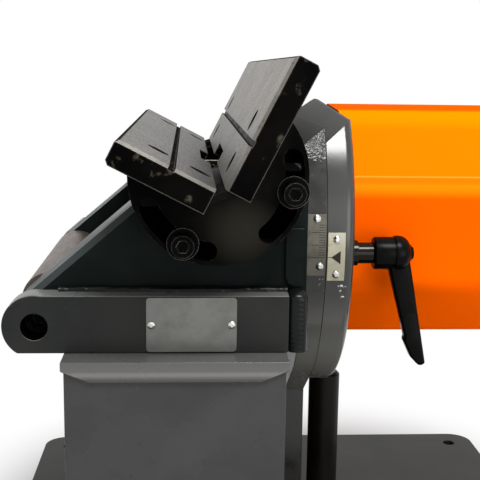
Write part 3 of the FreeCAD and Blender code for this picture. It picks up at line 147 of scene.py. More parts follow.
def wornMask(tree, place, look):
    # Edges: where the rounded normal leans from the true one. Spots: inside a ball of (x, y, z, radius) mm.
    # A coarse noise breaks both up, so that the paint comes off in flakes
    grain = add(tree, "ShaderNodeTexNoise", {},
                {"Vector": place, "Scale": perMetre(look["flake"]), "Detail": 5.0, "Roughness": 0.7})
    rounded = add(tree, "ShaderNodeBevel", {"samples": 6}, {"Radius": look["edge"] * mm})
    true = add(tree, "ShaderNodeNewGeometry", {}, {}, "Normal")
    lean = add(tree, "ShaderNodeVectorMath", {"operation": "DOT_PRODUCT"}, {0: rounded, 1: true}, "Value")
    edge = add(tree, "ShaderNodeMapRange", smooth,
               {"Value": lean, "From Min": wearing["leanFrom"], "From Max": wearing["leanTo"]})
    start = 1 - look["wear"]
    flaked = add(tree, "ShaderNodeMapRange", smooth,
                 {"Value": grain, "From Min": start, "From Max": start + wearing["flakeSoft"]})
    mask = add(tree, "ShaderNodeMath", {"operation": "MULTIPLY"}, {0: edge, 1: flaked})
    for x, y, z, radius, share in look.get("spots", ()):
        near = nearPoint(tree, place, (x, y, z), radius, radius * wearing["spotCore"], share)
        total = add(tree, "ShaderNodeMath", {"operation": "ADD"}, {0: near, 1: grain})
        chip = add(tree, "ShaderNodeMapRange", smooth,
                   {"Value": total, "From Min": wearing["chipFrom"], "From Max": wearing["chipTo"]})
        mask = add(tree, "ShaderNodeMath", {"operation": "MAXIMUM"}, {0: mask, 1: chip})
    return mask


def byHeight(tree, place, stops):
    # A colour that changes with the height: stops are (mm, hex), lowest first
    low, high = stops[0][0], stops[-1][0]
    height = add(tree, "ShaderNodeSeparateXYZ", {}, {0: place}, 2)
    share = add(tree, "ShaderNodeMapRange", {},
                {"Value": height, "From Min": low * mm, "From Max": high * mm})
    ramp = add(tree, "ShaderNodeValToRGB", {}, {"Fac": share})
    elements = ramp.node.color_ramp.elements
    elements[0].color, elements[1].color = colour(stops[0][1]), colour(stops[-1][1])
    for stop, code in stops[1:-1]:
        elements.new((stop - low) / (high - low)).color = colour(code)
    return ramp


def dulled(tree, gloss, up, look):
    # Dust and oil take the gloss off the slopes between the look's first two numbers. The third is the
    # roughness that they end at
    start, end, most = look["dull"]
    dusty = add(tree, "ShaderNodeMapRange", smooth,
                {"Value": up, "From Min": start, "From Max": end, "To Max": most})
    return add(tree, "ShaderNodeMath", {"operation": "MAXIMUM"}, {0: gloss, 1: dusty})


def upward(tree):
    # How far a face looks up: one for a level top, nothing for a wall, minus one for an underside
    facing = add(tree, "ShaderNodeNewGeometry", {}, {}, "Normal")
    return add(tree, "ShaderNodeSeparateXYZ", {}, {0: facing}, 2)


def surface(tree, links, bumps):
    # Bumps are (height, depth in mm) pairs, laid one on another
    for height, depth in bumps:
        bump = {"Height": height, "Distance": depth * mm}
        if "Normal" in links:
            bump["Normal"] = links["Normal"]
        links = {**links, "Normal": add(tree, "ShaderNodeBump", {}, bump)}
    add(tree, "ShaderNodeOutputMaterial", {}, {"Surface": add(tree, "ShaderNodeBsdfPrincipled", {}, links)})


def enamel(name, look):
    # Sprayed machine enamel on cast iron and sheet: a fine orange peel, hand smudges in the gloss,
    # and bright metal where the paint has rubbed or flaked off. Faces give a painted light tone between two
    # slopes of the normal, bends paint light and shade by height, dull takes the gloss off its slopes, a seat
    # is painted shade, black behind the guide disc, and cast is a patch left lumpy by the mould: its place,
    # radius, grain and depth in mm
    material, tree, place = newMaterial(name)
    peel = add(tree, "ShaderNodeTexNoise", {},
               {"Vector": place, "Scale": perMetre(look["peel"]), "Detail": 2.0})
    smudge = add(tree, "ShaderNodeTexNoise", {},
                 {"Vector": place, "Scale": perMetre(look["smudge"]), "Detail": 4.0, "Roughness": 0.55})
    mix = add(tree, "ShaderNodeMapRange", smooth, {"Value": smudge, **band["smudge"]})
    tone = add(tree, "ShaderNodeMix", rgba, {0: mix, 6: colour(look["dark"]), 7: colour(look["light"])}, 2)
    # Painted light and shade: the tone is set by height, with painted highlights along the bends
    if "paintedLightByHeight" in look:
        tone = byHeight(tree, place, look["paintedLightByHeight"])
    up = upward(tree)
    # Painted light: a lighter tone on faces whose normal leans between the two slopes
    for code, start, end in look.get("faces", ()):
        share = add(tree, "ShaderNodeMapRange", smooth, {"Value": up, "From Min": start, "From Max": end})
        tone = add(tree, "ShaderNodeMix", rgba, {0: share, 6: tone, 7: colour(code)}, 2)
    mask = wornMask(tree, place, look)
    worn = add(tree, "ShaderNodeMix", rgba, {0: mask, 6: tone, 7: colour(look["rubbed"])}, 2)
    # Painted shade: the web behind the guide disc turns black
    if "seat" in look:
        seat = nearAxis(tree, place, *look["seat"])
        worn = add(tree, "ShaderNodeMix", rgba, {0: seat, 6: worn, 7: colour(look["oilAndShade"])}, 2)
    low, high = (look["rough"] + part for part in glossWander["paint"])
    gloss = add(tree, "ShaderNodeMapRange", smooth,
                {"Value": smudge, **band["even"], "To Min": low, "To Max": high})
    if "dull" in look:
        gloss = dulled(tree, gloss, up, look)
    if "seat" in look:
        gloss = add(tree, "ShaderNodeMath", {"operation": "MAXIMUM"}, {0: gloss, 1: seat})
    bumps = [(peel, look["peelDepth"]), (mask, look["chipDepth"])]
    if "cast" in look:
        x, y, z, radius, grain, depth = look["cast"]
        lumps = add(tree, "ShaderNodeTexNoise", {},
                    {"Vector": place, "Scale": perMetre(grain), "Detail": 3.0})
        near = nearPoint(tree, place, (x, y, z), radius, radius / 2)
        bumps.append((add(tree, "ShaderNodeMath", {"operation": "MULTIPLY"}, {0: lumps, 1: near}), depth))
    surface(tree, {"Base Color": worn, "Roughness": gloss, "Specular IOR Level": look["shine"]}, bumps)
    return material


# Peel, smudge, flake and edge are the sizes of the patterns in mm, and the depths are in mm too.
# A spot is (x, y, z, radius, share)
barEnamel = {
    "dark": "#1f2120", "light": "#282927", "rubbed": "#a3a3a0", "peel": 1.6, "peelDepth": 0.012,
    "chipDepth": -0.05, "smudge": 60, "flake": 7, "edge": 0.7, "wear": 0.4, "rough": 0.3, "shine": 0.12,
    # Painted light on the faces that look up
    "faces": [("#646562", 0.3, 0.6)],
    "spots": [(-232, -198, 297, 9, 0.42), (-60, -188, 303, 60, 0.16)],
}
# The webs: a darker copy of the bar's enamel, partly painted shade under the guide, with painted light on the
# slopes that look up
webEnamel = {**barEnamel, "dark": "#111615", "light": "#191f1e", "faces": [("#3b4140", 0.3, 0.55)],
             "shine": 0.02, "wear": 0.36,
             "spots": [(-120, -181, 372, 40, 0.2), (-190, -181, 315, 40, 0.2)],
             # Painted shade behind the guide disc
             "seat": (*guideAxis, 68, 69.5, 1.0), "oilAndShade": "#030303"}
# The welds: a darker copy of the bar's enamel, painted shade on the beads
weldEnamel = {**barEnamel, "dark": "#0a0e0e", "light": "#111514", "faces": [], "shine": 0.15, "rough": 0.25,
              "spots": [(-7, -199, 300, 6, 0.4)]}
flangeEnamel = {
    **barEnamel, "dark": "#2c2d2b", "light": "#373734", "rubbed": "#e6e4dd", "shine": 0.45, "wear": 0.34,
    # Painted light from below on the faces that look down
    "rough": 0.2, "flake": 3.2, "faces": [("#64645f", -0.25, -0.65)], "dull": (0.66, 0.78, 0.62),
    "spots": [(36, -155, 297, 8, 0.42), (37, -150, 290, 6, 0.4)],
}
# The near flange is darker, and left rough from the mould at its top
castFlangeEnamel = {
    **flangeEnamel, "dark": "#161715", "light": "#272725", "smudge": 22, "rough": 0.16,
    "cast": (17, -130, 420, 26, 2.4, 1.2),
    "spots": [(9, -146, 396, 12, 0.36), (23, -157, 300, 22, 0.34), (23, -155, 265, 30, 0.28)],
}
sheetEnamel = {**barEnamel, "dark": "#363636", "light": "#3e3e3e", "faces": [], "rough": 0.26, "shine": 0.2,
               "spots": []}
# The lid's colour follows the height: a painted highlight along the lip's rolled lower edge
lidHighlightEnamel = {**sheetEnamel, "shine": 0.35, "paintedLightByHeight": [
    (238.0, "#3f3f3e"), (240.6, "#414140"), (241.6, "#4c4c4b"), (243.0, "#5c5b58"), (244.3, "#6d6b68"),
    (246.0, "#6e6c69"), (247.6, "#5a5958"), (251.0, "#575755"), (255.0, "#545451")]}
postPaint = {**barEnamel, "dark": "#060502", "light": "#110f08", "faces": [], "rubbed": "#3b3b3b",
             "rough": 0.35, "spots": []}
orangeEnamel = {
    "dark": "#f96500", "light": "#fd6d00", "rubbed": "#ff9a3a", "peel": 2.2, "peelDepth": 0.006,
    "chipDepth": -0.02, "smudge": 160, "flake": 9, "edge": 0.5, "wear": 0.2, "rough": 0.3, "shine": 0.002,
}
# The cover's sheet: painted light and shade by height, each face its own painted depth of orange, and a
# painted highlight along the upper bend
paintedLightCoverEnamel = {**orangeEnamel, "dull": (0.72, 0.9, 0.95), "paintedLightByHeight": [
    (280.0, "#fd6100"), (350.0, "#fd5c00"), (367.0, "#fd5c00"), (370.0, "#fe6a02"), (374.0, "#ff7804"),
    (378.0, "#ff7d06"), (381.0, "#fd6f02"), (384.6, "#fd6e02"), (385.4, "#ff9a30"), (386.2, "#fe7400"),
    (425.0, "#fe7400"), (432.0, "#ff8000"), (440.5, "#ff8500"), (441.6, "#de5800"), (445.0, "#de5800")]}


def blackOxide(name, look):
    # Steel blackened in hot salts: near black and oily satin, brown where the film is thin, bright where it
    # has rubbed through on edges and in small patches. A sheen is a painted reflection, a round patch where a
    # lighter brown shows
    material, tree, place = newMaterial(name)
    cloud = add(tree, "ShaderNodeTexNoise", {},
                {"Vector": place, "Scale": perMetre(look["cloud"]), "Detail": 4.0, "Roughness": 0.6})
    patch = add(tree, "ShaderNodeTexNoise", {},
                {"Vector": place, "Scale": perMetre(look["patch"]), "Detail": 5.0, "Roughness": 0.65})
    fine = add(tree, "ShaderNodeTexNoise", {},
               {"Vector": place, "Scale": perMetre(look["fine"]), "Detail": 2.0})
    filmAndSheen = add(tree, "ShaderNodeMapRange", smooth, {"Value": cloud, **band["filmAndSheen"]})
    # Painted reflection: a round sheen where the brown shows
    if "paintedSheen" in look:
        glow = nearAxis(tree, place, *look["paintedSheen"])
        lit = add(tree, "ShaderNodeMath", {"operation": "MULTIPLY"}, {0: filmAndSheen, 1: look["paintedSheenOutside"]})
        filmAndSheen = add(tree, "ShaderNodeMath", {"operation": "MAXIMUM"}, {0: glow, 1: lit})
    tone = add(tree, "ShaderNodeMix", rgba, {0: filmAndSheen, 6: colour(look["black"]), 7: colour(look["brown"])}, 2)
    rubbed = add(tree, "ShaderNodeMapRange", smooth,
                 {"Value": patch, **band["rubbed"], "To Max": look["patches"]})
    patched = add(tree, "ShaderNodeMix", rgba, {0: rubbed, 6: tone, 7: colour(look["grey"])}, 2)
    mask = wornMask(tree, place, look)
    worn = add(tree, "ShaderNodeMix", rgba, {0: mask, 6: patched, 7: colour(look["bareAndHighlight"])}, 2)
    low, high = (look["rough"] + part for part in glossWander["oxide"])
    gloss = add(tree, "ShaderNodeMapRange", smooth,
                {"Value": cloud, **band["oilAndShade"], "To Min": low, "To Max": high})
    gloss = dulled(tree, gloss, upward(tree), look)
    surface(tree, {"Base Color": worn, "Metallic": look["metal"], "Roughness": gloss,
                   "Specular IOR Level": look["shine"]}, [(fine, look["depth"])])
    return material


oxide = {
    "black": "#060605", "brown": "#15140f", "grey": "#3d3b36", "bareAndHighlight": "#7d7a73", "cloud": 45, "patch": 9,
    "patches": 0.2, "flake": 5, "fine": 0.8, "edge": 0.6, "wear": 0.5, "rough": 0.3, "depth": 0.006,
    "metal": 0.2, "shine": 0.06, "dull": (0.6, 0.9, 0.9),
}
# The disc: a painted reflection, a brown sheen round a point low on its face
discOxide = {**oxide, "black": "#020202", "brown": "#292822", "bareAndHighlight": "#5c584d", "patches": 0.0, "cloud": 60,
             "shine": 0.02, "paintedSheen": (-52, 355, 4, 38, 1.0), "paintedSheenOutside": 0.3}
# The rails' ends: their bright rubbed edges are partly wear, partly a painted highlight on the rims
railOxide = {**oxide, "black": "#020202", "brown": "#080706", "grey": "#454339", "patches": 0.9, "patch": 11,
             "wear": 0.7, "edge": 1.6, "bareAndHighlight": "#57544e", "rough": 0.4, "metal": 0.1, "shine": 0.02}
# The screw heads: their bright rubbed rims are partly wear, partly a painted highlight
screwOxide = {**oxide, "black": "#010101", "brown": "#040404", "bareAndHighlight": "#8f8d87", "patches": 0.0,
              "wear": 0.72, "edge": 1.0, "rough": 0.25, "metal": 0.1, "shine": 0.04}
# Near-black matt painted shade for recesses: the bar's bolt bores and the rail screws in their slots
recessShadeOxide = {**oxide, "black": "#020202", "brown": "#030303", "patches": 0.0, "wear": 0.1, "metal": 0.0,
             "shine": 0.01, "rough": 0.7}
# The rail keys: near black, painted shade in the V under the rails
keyShadeOxide = {**recessShadeOxide, "black": "#0c0c0b", "brown": "#141412", "wear": 0.5}


def groundSteel(name, look):
    # Metal with a lay: fine straight lines from the wheel or the rolls, dull satin, oily smudges. Where the
    # look has a shade axis (x, z, inner, outer, share), painted shade darkens the metal towards that Y axis
    material, tree, place = newMaterial(name)
    drawn = add(tree, "ShaderNodeMapping", {}, {"Vector": place, "Scale": look["along"]})
    lines = add(tree, "ShaderNodeTexNoise", {},
                {"Vector": drawn, "Scale": perMetre(look["line"]), "Detail": 3.0, "Roughness": 0.7})
    cloud = add(tree, "ShaderNodeTexNoise", {},
                {"Vector": place, "Scale": perMetre(look["cloud"]), "Detail": 4.0, "Roughness": 0.6})
    stain = add(tree, "ShaderNodeTexNoise", {},
                {"Vector": place, "Scale": perMetre(look["stain"]), "Detail": 5.0, "Roughness": 0.7})
    pale = add(tree, "ShaderNodeMapRange", smooth, {"Value": cloud, **band["pale"]})
    tone = add(tree, "ShaderNodeMix", rgba, {0: pale, 6: colour(look["light"]), 7: colour(look["mid"])}, 2)
    dirtAndShade = add(tree, "ShaderNodeMapRange", smooth, {"Value": stain, **band["stain"], "To Max": look["dirtAndShade"]})
    # Painted shade towards the look's Y axis joins the stains
    if "paintedShadeAxis" in look:
        near = nearAxis(tree, place, *look["paintedShadeAxis"])
        dirtAndShade = add(tree, "ShaderNodeMath", {"operation": "MAXIMUM"}, {0: dirtAndShade, 1: near})
    smudgedAndShaded = add(tree, "ShaderNodeMix", rgba, {0: dirtAndShade, 6: tone, 7: colour(look["dark"])}, 2)
    low, high = (look["rough"] + part for part in glossWander["steel"])
    gloss = add(tree, "ShaderNodeMapRange", smooth,
                {"Value": lines, **band["even"], "To Min": low, "To Max": high})
    surface(tree, {"Base Color": smudgedAndShaded, "Metallic": look["metal"], "Roughness": gloss},
            [(lines, look["depth"])])
    return material


# Along is how much the lines are drawn out on each axis. Line, cloud and stain are sizes in mm
railSteel = {
    "light": "#868279", "mid": "#746f68", "dark": "#33312d", "along": (1.0, 0.03, 1.0), "line": 0.5,
    "cloud": 40, "stain": 16, "dirtAndShade": 0.75, "rough": 0.42, "depth": 0.002, "metal": 0.7,
    # Painted shade: the steel darkens towards the V's axis
    "paintedShadeAxis": (-70, 390, 12, 85, 0.6),
}
# The left rail: a darker copy of the rail steel, painted shade, with a wider painted shade towards the V
shadedRailSteel = {**railSteel, "light": "#5d5952", "mid": "#494640", "dark": "#1c1a17", "dirtAndShade": 1.0,
                "paintedShadeAxis": (-70, 390, 20, 70, 0.75)}
wornSteel = {**railSteel, "light": "#75716a", "mid": "#5d5953", "dark": "#2a2824", "stain": 5, "dirtAndShade": 0.9,
             "rough": 0.5, "metal": 0.2, "paintedShadeAxis": (-70, 390, 10, 40, 0.5)}
turnedSteel = {
    "light": "#a5a29c", "mid": "#8f8c86", "dark": "#4d4a46", "along": (0.05, 1.0, 1.0), "line": 1.2,
    "cloud": 55, "stain": 14, "dirtAndShade": 0.2, "rough": 0.28, "depth": 0.004, "metal": 1.0,
}
sleeveSteel = {**turnedSteel, "light": "#2a2825", "mid": "#1e1c1a", "dark": "#100f0e", "rough": 0.16}
brightZinc = {**turnedSteel, "light": "#d6d6d2", "mid": "#c3c3bf", "rough": 0.24, "dirtAndShade": 0.1}
tieBarSteel = {**turnedSteel, "light": "#5e534c", "mid": "#51463f", "along": (1.0, 0.05, 1.0), "rough": 0.42,
               "dirtAndShade": 0.3, "metal": 0.5}
castAlloy = {**turnedSteel, "light": "#a3a4a5", "mid": "#8b8c8d", "along": (1.0, 1.0, 1.0), "line": 2.0,
             "rough": 0.5, "metal": 0.9}
cutterSteel = {**turnedSteel, "light": "#2c2a27", "mid": "#1c1b18", "dark": "#0c0b0a", "dirtAndShade": 0.7,
               "rough": 0.3}
carbide = {**turnedSteel, "light": "#6b6557", "mid": "#4f4a40", "rough": 0.25}
rolledPlate = {**turnedSteel, "light": "#72736f", "mid": "#656560", "dark": "#4b4b46", "line": 0.6,
               "cloud": 25, "stain": 6, "dirtAndShade": 0.25, "rough": 0.38, "metal": 0.8}
rulerPlate = {**rolledPlate, "light": "#5e5c54", "mid": "#4c4a41", "dark": "#302e26", "dirtAndShade": 0.55}
pointerPlate = {**rolledPlate, "light": "#aba692", "mid": "#989380", "dark": "#625d4c", "dirtAndShade": 0.4,
                "metal": 0.4, "rough": 0.42}


def mouldedPlastic(name, look):
    # Injection moulded plastic or powder coat: one colour, a fine even grain and a little cloudy gloss
    material, tree, place = newMaterial(name)
    grain = add(tree, "ShaderNodeTexNoise", {},
                {"Vector": place, "Scale": perMetre(look["grain"]), "Detail": 2.0})
    cloud = add(tree, "ShaderNodeTexNoise", {},
                {"Vector": place, "Scale": perMetre(look["cloud"]), "Detail": 3.0})
    mix = add(tree, "ShaderNodeMapRange", smooth, {"Value": cloud, **band["even"]})
    tone = add(tree, "ShaderNodeMix", rgba, {0: mix, 6: colour(look["base"]), 7: colour(look["worn"])}, 2)
    low, high = (look["rough"] + part for part in glossWander["plastic"])
    gloss = add(tree, "ShaderNodeMapRange", smooth,
                {"Value": cloud, **band["even"], "To Min": low, "To Max": high})
    surface(tree, {"Base Color": tone, "Roughness": gloss, "Specular IOR Level": look["shine"]},
            [(grain, look["depth"])])
    return material


powderCoat = {"base": "#030303", "worn": "#070706", "grain": 0.7, "cloud": 25, "rough": 0.22, "depth": 0.012,
              "shine": 0.06}
blackAbs = {**powderCoat, "base": "#121213", "worn": "#19191a", "grain": 0.5, "cloud": 30, "rough": 0.42,
            "shine": 0.3}
greenButton = {**powderCoat, "base": "#0c8a2c", "worn": "#128f33", "cloud": 10, "depth": 0.004, "shine": 0.5}
redButton = {**greenButton, "base": "#b80f0a", "worn": "#bf1812"}
inkPaint = {**powderCoat, "base": "#17140f", "worn": "#2a2720", "grain": 0.3, "cloud": 1.5, "rough": 0.6,
            "depth": 0.004, "shine": 0.2}

finish = {
    "bar": enamel("darkGreyEnamel", barEnamel),
    "web": enamel("darkGreenGreyShadedEnamel", webEnamel),
    "sheet": enamel("darkSheetEnamel", sheetEnamel),
    "weld": enamel("darkGlossShadedEnamel", weldEnamel),
    "flange": enamel("greyMachineEnamel", flangeEnamel),
    "castFlange": enamel("greyCastEnamel", castFlangeEnamel),
    "lid": enamel("greyLidHighlightEnamel", lidHighlightEnamel),
    "post": enamel("blackPostPaint", postPaint),
    "orange": enamel("orangeLidEnamel", orangeEnamel),
    "cover": enamel("orangeCoverPaintedLight", paintedLightCoverEnamel),
    "oxide": blackOxide("blackOxideSteel", oxide),
    "disc": blackOxide("blackOxideDisc", discOxide),
    "railBlack": blackOxide("blackOxideRail", railOxide),
    "screw": blackOxide("blackOxideScrew", screwOxide),
    "recessShade": blackOxide("blackRecessShade", recessShadeOxide),
    "key": blackOxide("blackKeyShade", keyShadeOxide),
    "right_rail": groundSteel("groundToolSteel", railSteel),
    "left_rail": groundSteel("groundSteelPaintedShade", shadedRailSteel),
    "worn": groundSteel("wornRailChamfer", wornSteel),
    "turned": groundSteel("turnedSteel", turnedSteel),
    "sleeve": groundSteel("turnedSleeveSteel", sleeveSteel),
    "zinc": groundSteel("brightZincPlate", brightZinc),
    "tieBar": groundSteel("drawnSteelBar", tieBarSteel),
    "cast": groundSteel("castAluminium", castAlloy),
    "cutter": groundSteel("oiledCutterSteel", cutterSteel),
    "carbide": groundSteel("groundCarbide", carbide),
    "plate": groundSteel("rolledAluminiumPlate", rolledPlate),
    "ruler": groundSteel("etchedRulerPlate", rulerPlate),
    "pointer": groundSteel("anodisedPointerPlate", pointerPlate),
    "powder": mouldedPlastic("blackPowderCoat", powderCoat),
    "abs": mouldedPlastic("blackMouldedAbs", blackAbs),
    "green": mouldedPlastic("greenPushButton", greenButton),
    "red": mouldedPlastic("redPushButton", redButton),
    "ink": mouldedPlastic("etchedBlackInk", inkPaint),
}
print("materials made:", len(finish))


def link(name, mesh):
    piece = bpy.data.objects.new(name, mesh)
    bpy.context.scene.collection.objects.link(piece)
    return piece


def settle(piece, body, slot, *replaced):
    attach(piece, body)
    if replaced:
        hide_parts(*replaced)
    return piece


# How the frame's solids are cleaned and rounded. Corners closer than near, in metres, are one. Faces that
# differ by less than flat are one, and edges over sharp are rounded, both in degrees
edgeWork = {"near": 2e-6, "flat": 0.6, "sharp": 32, "segments": 2, "evenness": 95}


def brokenEdges(node, materials, width, choose=None, worn=None):
    # The node's solid, merged to clean faces, with every sharp edge rounded to the width in mm.
    # Choose gives each face the number of its material from its normal and middle. Worn picks edges to
    # chamfer in the last material. It is a width in mm and a function that numbers the corners: an edge
    # is picked where its two ends have the same number and that isn't nought
    mesh = nodes[node].data.copy()
    work = bmesh.new()
    work.from_mesh(mesh)
    bmesh.ops.remove_doubles(work, verts=work.verts, dist=edgeWork["near"])
    bmesh.ops.dissolve_limit(work, angle_limit=math.radians(edgeWork["flat"]), verts=work.verts,
                             edges=work.edges)
    work.to_mesh(mesh)
    work.free()
    for name in ("custom_normal", "sharp_edge", "sharp_face"):
        if name in mesh.attributes:
            mesh.attributes.remove(mesh.attributes[name])
    mesh.materials.clear()
    for material in materials:
        mesh.materials.append(finish[material])
    count = len(mesh.polygons)
    chosen = np.zeros(count, np.int32)
    if choose is not None:
        normals, centres = np.empty(count * 3), np.empty(count * 3)
        mesh.polygons.foreach_get("normal", normals)
        mesh.polygons.foreach_get("center", centres)
        chosen = choose(normals.reshape(-1, 3), centres.reshape(-1, 3)).astype(np.int32)
    mesh.polygons.foreach_set("material_index", chosen)
    mesh.polygons.foreach_set("use_smooth", np.ones(count, bool))
    mesh.update()
    if worn is not None:
        points, ends = np.empty(len(mesh.vertices) * 3), np.empty(len(mesh.edges) * 2, np.int32)
        mesh.vertices.foreach_get("co", points)
        mesh.edges.foreach_get("vertices", ends)
        first, second = worn[1](points.reshape(-1, 3))[ends.reshape(-1, 2)].T
        picked = (first == second) & (first != 0)
        weights = mesh.attributes.new("bevel_weight_edge", "FLOAT", "EDGE")
        weights.data.foreach_set("value", picked.astype(np.float32))
    piece = link("fine_" + node, mesh)
    if worn is not None:
        chamfer = piece.modifiers.new("wornChamfer", "BEVEL")
        chamfer.width = worn[0] * mm
        chamfer.segments = 1
        chamfer.limit_method = "WEIGHT"
        chamfer.material = len(materials) - 1
    bevel = piece.modifiers.new("brokenEdge", "BEVEL")
    bevel.width = width * mm
    bevel.segments = edgeWork["segments"]
    bevel.limit_method = "ANGLE"
    bevel.angle_limit = math.radians(edgeWork["sharp"])
    piece.modifiers.new("flatFaces", "WEIGHTED_NORMAL").weight = edgeWork["evenness"]
    return settle(piece, bodyOf[node], slotOf[node], node)


# The guide's rails, each half of the V's angle from its middle, with rounded edges and worn ends in mm.
# Level and lean are the least cosines between a face and the working face. A face or a corner belongs to the
# working face when it is within so many mm of its plane
rails = {"halfAngle": 45, "round": 0.6, "wear": 2.4, "level": 0.99, "lean": 0.7, "faceWithin": 0.4,
         "cornerWithin": 0.3}


def railNormal(side):
    # The working face's normal: minus the sine and the cosine of its lean, in the plane across the rails
    lean = guideTilt + math.radians(rails["halfAngle"]) * (-1 if side == "left" else 1)
    return np.array([-math.sin(lean), 0, math.cos(lean)])


def railFaces(normal):
    # Ground: the rail's working face. Its normal is the rail's own, and grooves and slots lie below its plane
    def choose(normals, centres):
        height, facing = centres @ normal, normals @ normal
        plane = height[facing > rails["level"]].max()
        return np.where((facing > rails["lean"]) & (height > plane - rails["faceWithin"] * mm), 0, 1)
    return choose


def railEnds(normal):
    # The corners where the working face meets the rail's ends: minus one at the front end, one at the rear
    def number(points):
        height, far = points @ normal, np.abs(points[:, 1])
        within = rails["cornerWithin"] * mm
        high = (height > height.max() - within) & (far > far.max() - within)
        return high * np.sign(points[:, 1])
    return number


# The bolt hole through each bar's lug: its Y axis, and a radius that takes in its wall, in mm
boltHole = {"x": -213.5, "z": 276.5, "reach": 12}


def boreWalls(normals, centres):
    # Black painted shade: faces that look towards the bolt hole's own axis get it, so the grey paint stops at
    # its rim
    across = centres[:, [0, 2]] - np.array([boltHole["x"], boltHole["z"]]) * mm
    away = np.hypot(across[:, 0], across[:, 1])
    inward = (across * normals[:, [0, 2]]).sum(axis=1) < 0
    return np.where((away < boltHole["reach"] * mm) & inward, 1, 0)


# Each node with its finish and the width that its edges are rounded to, in mm
edgeWidths = {
    "foot_plate": ("flange", 1.5), "base_cabinet": ("sheet", 0.6), "cabinet_lid": ("lid", 0.5),
    "tie_bar": ("tieBar", 0.5), "tie_bolts": ("screw", 0.5), "head_flange": ("castFlange", 0.8),
    "housing_flange": ("flange", 0.8), "flange_bolts": ("oxide", 0.5), "flange_washers": ("zinc", 0.3),
    "front_disc": ("disc", 0.5), "rear_disc": ("disc", 0.5), "rail_screws": ("recessShade", 0.4),
    "rail_keys": ("key", 0.4), "disc_clamp_screws": ("screw", 0.6), "disc_clamp_washers": ("screw", 0.4),
    "end_cover": ("orange", 0.5), "motor_housing": ("cover", 0.4), "support_post": ("post", 0.6),
    "switch_box": ("abs", 1.2), "start_button": ("green", 1.2), "stop_button": ("red", 1.2),
    "button_rings": ("zinc", 0.5), "cable_gland": ("abs", 0.4), "lever_stud": ("sleeve", 0.3),
    "lever_screw": ("screw", 0.8), "notice_plate": ("plate", 0.25), "depth_ruler": ("ruler", 0.2),
    "depth_pointer": ("pointer", 0.2), "cutter_head": ("cutter", 0.3), "cutter_inserts": ("carbide", 0.15),
    "cutter_cap": ("oxide", 0.5), "cutter_bolt": ("oxide", 0.4),
}
for node, (material, width) in edgeWidths.items():
    brokenEdges(node, [material], width)
beamRound = 1.0  # mm, on the bars and the webs
for node in ("front_bar", "rear_bar"):
    brokenEdges(node, ["bar", "recessShade"], beamRound, boreWalls)
for node in ("front_web", "rear_web"):
    brokenEdges(node, ["web"], beamRound)
for side in ("left", "right"):
    normal = railNormal(side)
    brokenEdges(side + "_rail", [side + "_rail", "railBlack", "worn"], rails["round"], railFaces(normal),
                (rails["wear"], railEnds(normal)))

# Small or hidden nodes keep the frame's mesh and get a finish only
plain = {
    "notice_rivets": "zinc", "ruler_rivets": "zinc", "pointer_rivets": "zinc", "insert_screws": "screw",
    "motor_barrel": "cast", "rear_bell": "cast", "stator": "oxide", "rotor": "turned",
    "front_bearing": "turned", "rear_bearing": "turned", "spindle_shaft": "turned", "cooling_fan": "abs",
}
for node, material in plain.items():
    mesh = nodes[node].data
    mesh.materials.clear()
    mesh.materials.append(finish[material])
rounded = [piece for piece in bpy.data.objects if piece.name.startswith("fine_")]
print("frame pieces finished:", len(rounded) + len(plain))

# New meshes: corners nearer than this in metres are one, and edges over the crease in degrees stay sharp
meshWork = {"near": 1e-7, "nearInDigits": 1e-8, "crease": 40}


def closeUp(mesh, near):
    # Joins the corners that meet and turns every face outwards
    work = bmesh.new()
    work.from_mesh(mesh)
    bmesh.ops.remove_doubles(work, verts=work.verts, dist=near)
    bmesh.ops.recalc_face_normals(work, faces=work.faces)
    work.to_mesh(mesh)
    work.free()


def gridPiece(name, points, body, slot, material, caps=True, replaced=()):
    # Points are rows of rings: quads join each point to the next in its ring and to the next ring
    rows, around = points.shape[:2]
    index = np.arange(rows * around).reshape(rows, around)
    after = np.roll(index, -1, axis=1)
    quads = np.stack([index[:-1], after[:-1], after[1:], index[1:]], axis=-1).reshape(-1, 4).tolist()
    if caps:
        quads += [index[0][::-1].tolist(), index[-1].tolist()]
    mesh = bpy.data.meshes.new(name)
    mesh.from_pydata(points.reshape(-1, 3).tolist(), [], quads)
    closeUp(mesh, meshWork["near"])
    mesh.polygons.foreach_set("use_smooth", np.ones(len(mesh.polygons), bool))
    mesh.set_sharp_from_angle(angle=math.radians(meshWork["crease"]))
    mesh.materials.append(finish[material])
    mesh.update()
    return settle(link(name, mesh), body, slot, *replaced)


def turnedPoints(profile, centre, around):
    # A profile of (x, radius) in mm carried round the X axis: y and z are the radius times the cosine and
    # sine of the angle
    along, radius = np.array(profile).T[:, :, None] * mm
    angle = np.linspace(0, 2 * np.pi, around, endpoint=False)[None, :]
    return np.stack(np.broadcast_arrays(along, centre[1] + radius * np.cos(angle),
                                        centre[2] + radius * np.sin(angle)), axis=-1)


def squaredOff(angle, power):
    # A superellipse's way out across and along: the cosine and the sine, to a power below one, signs kept
    return [np.sign(way) * np.abs(way) ** power for way in (np.cos(angle), np.sin(angle))]


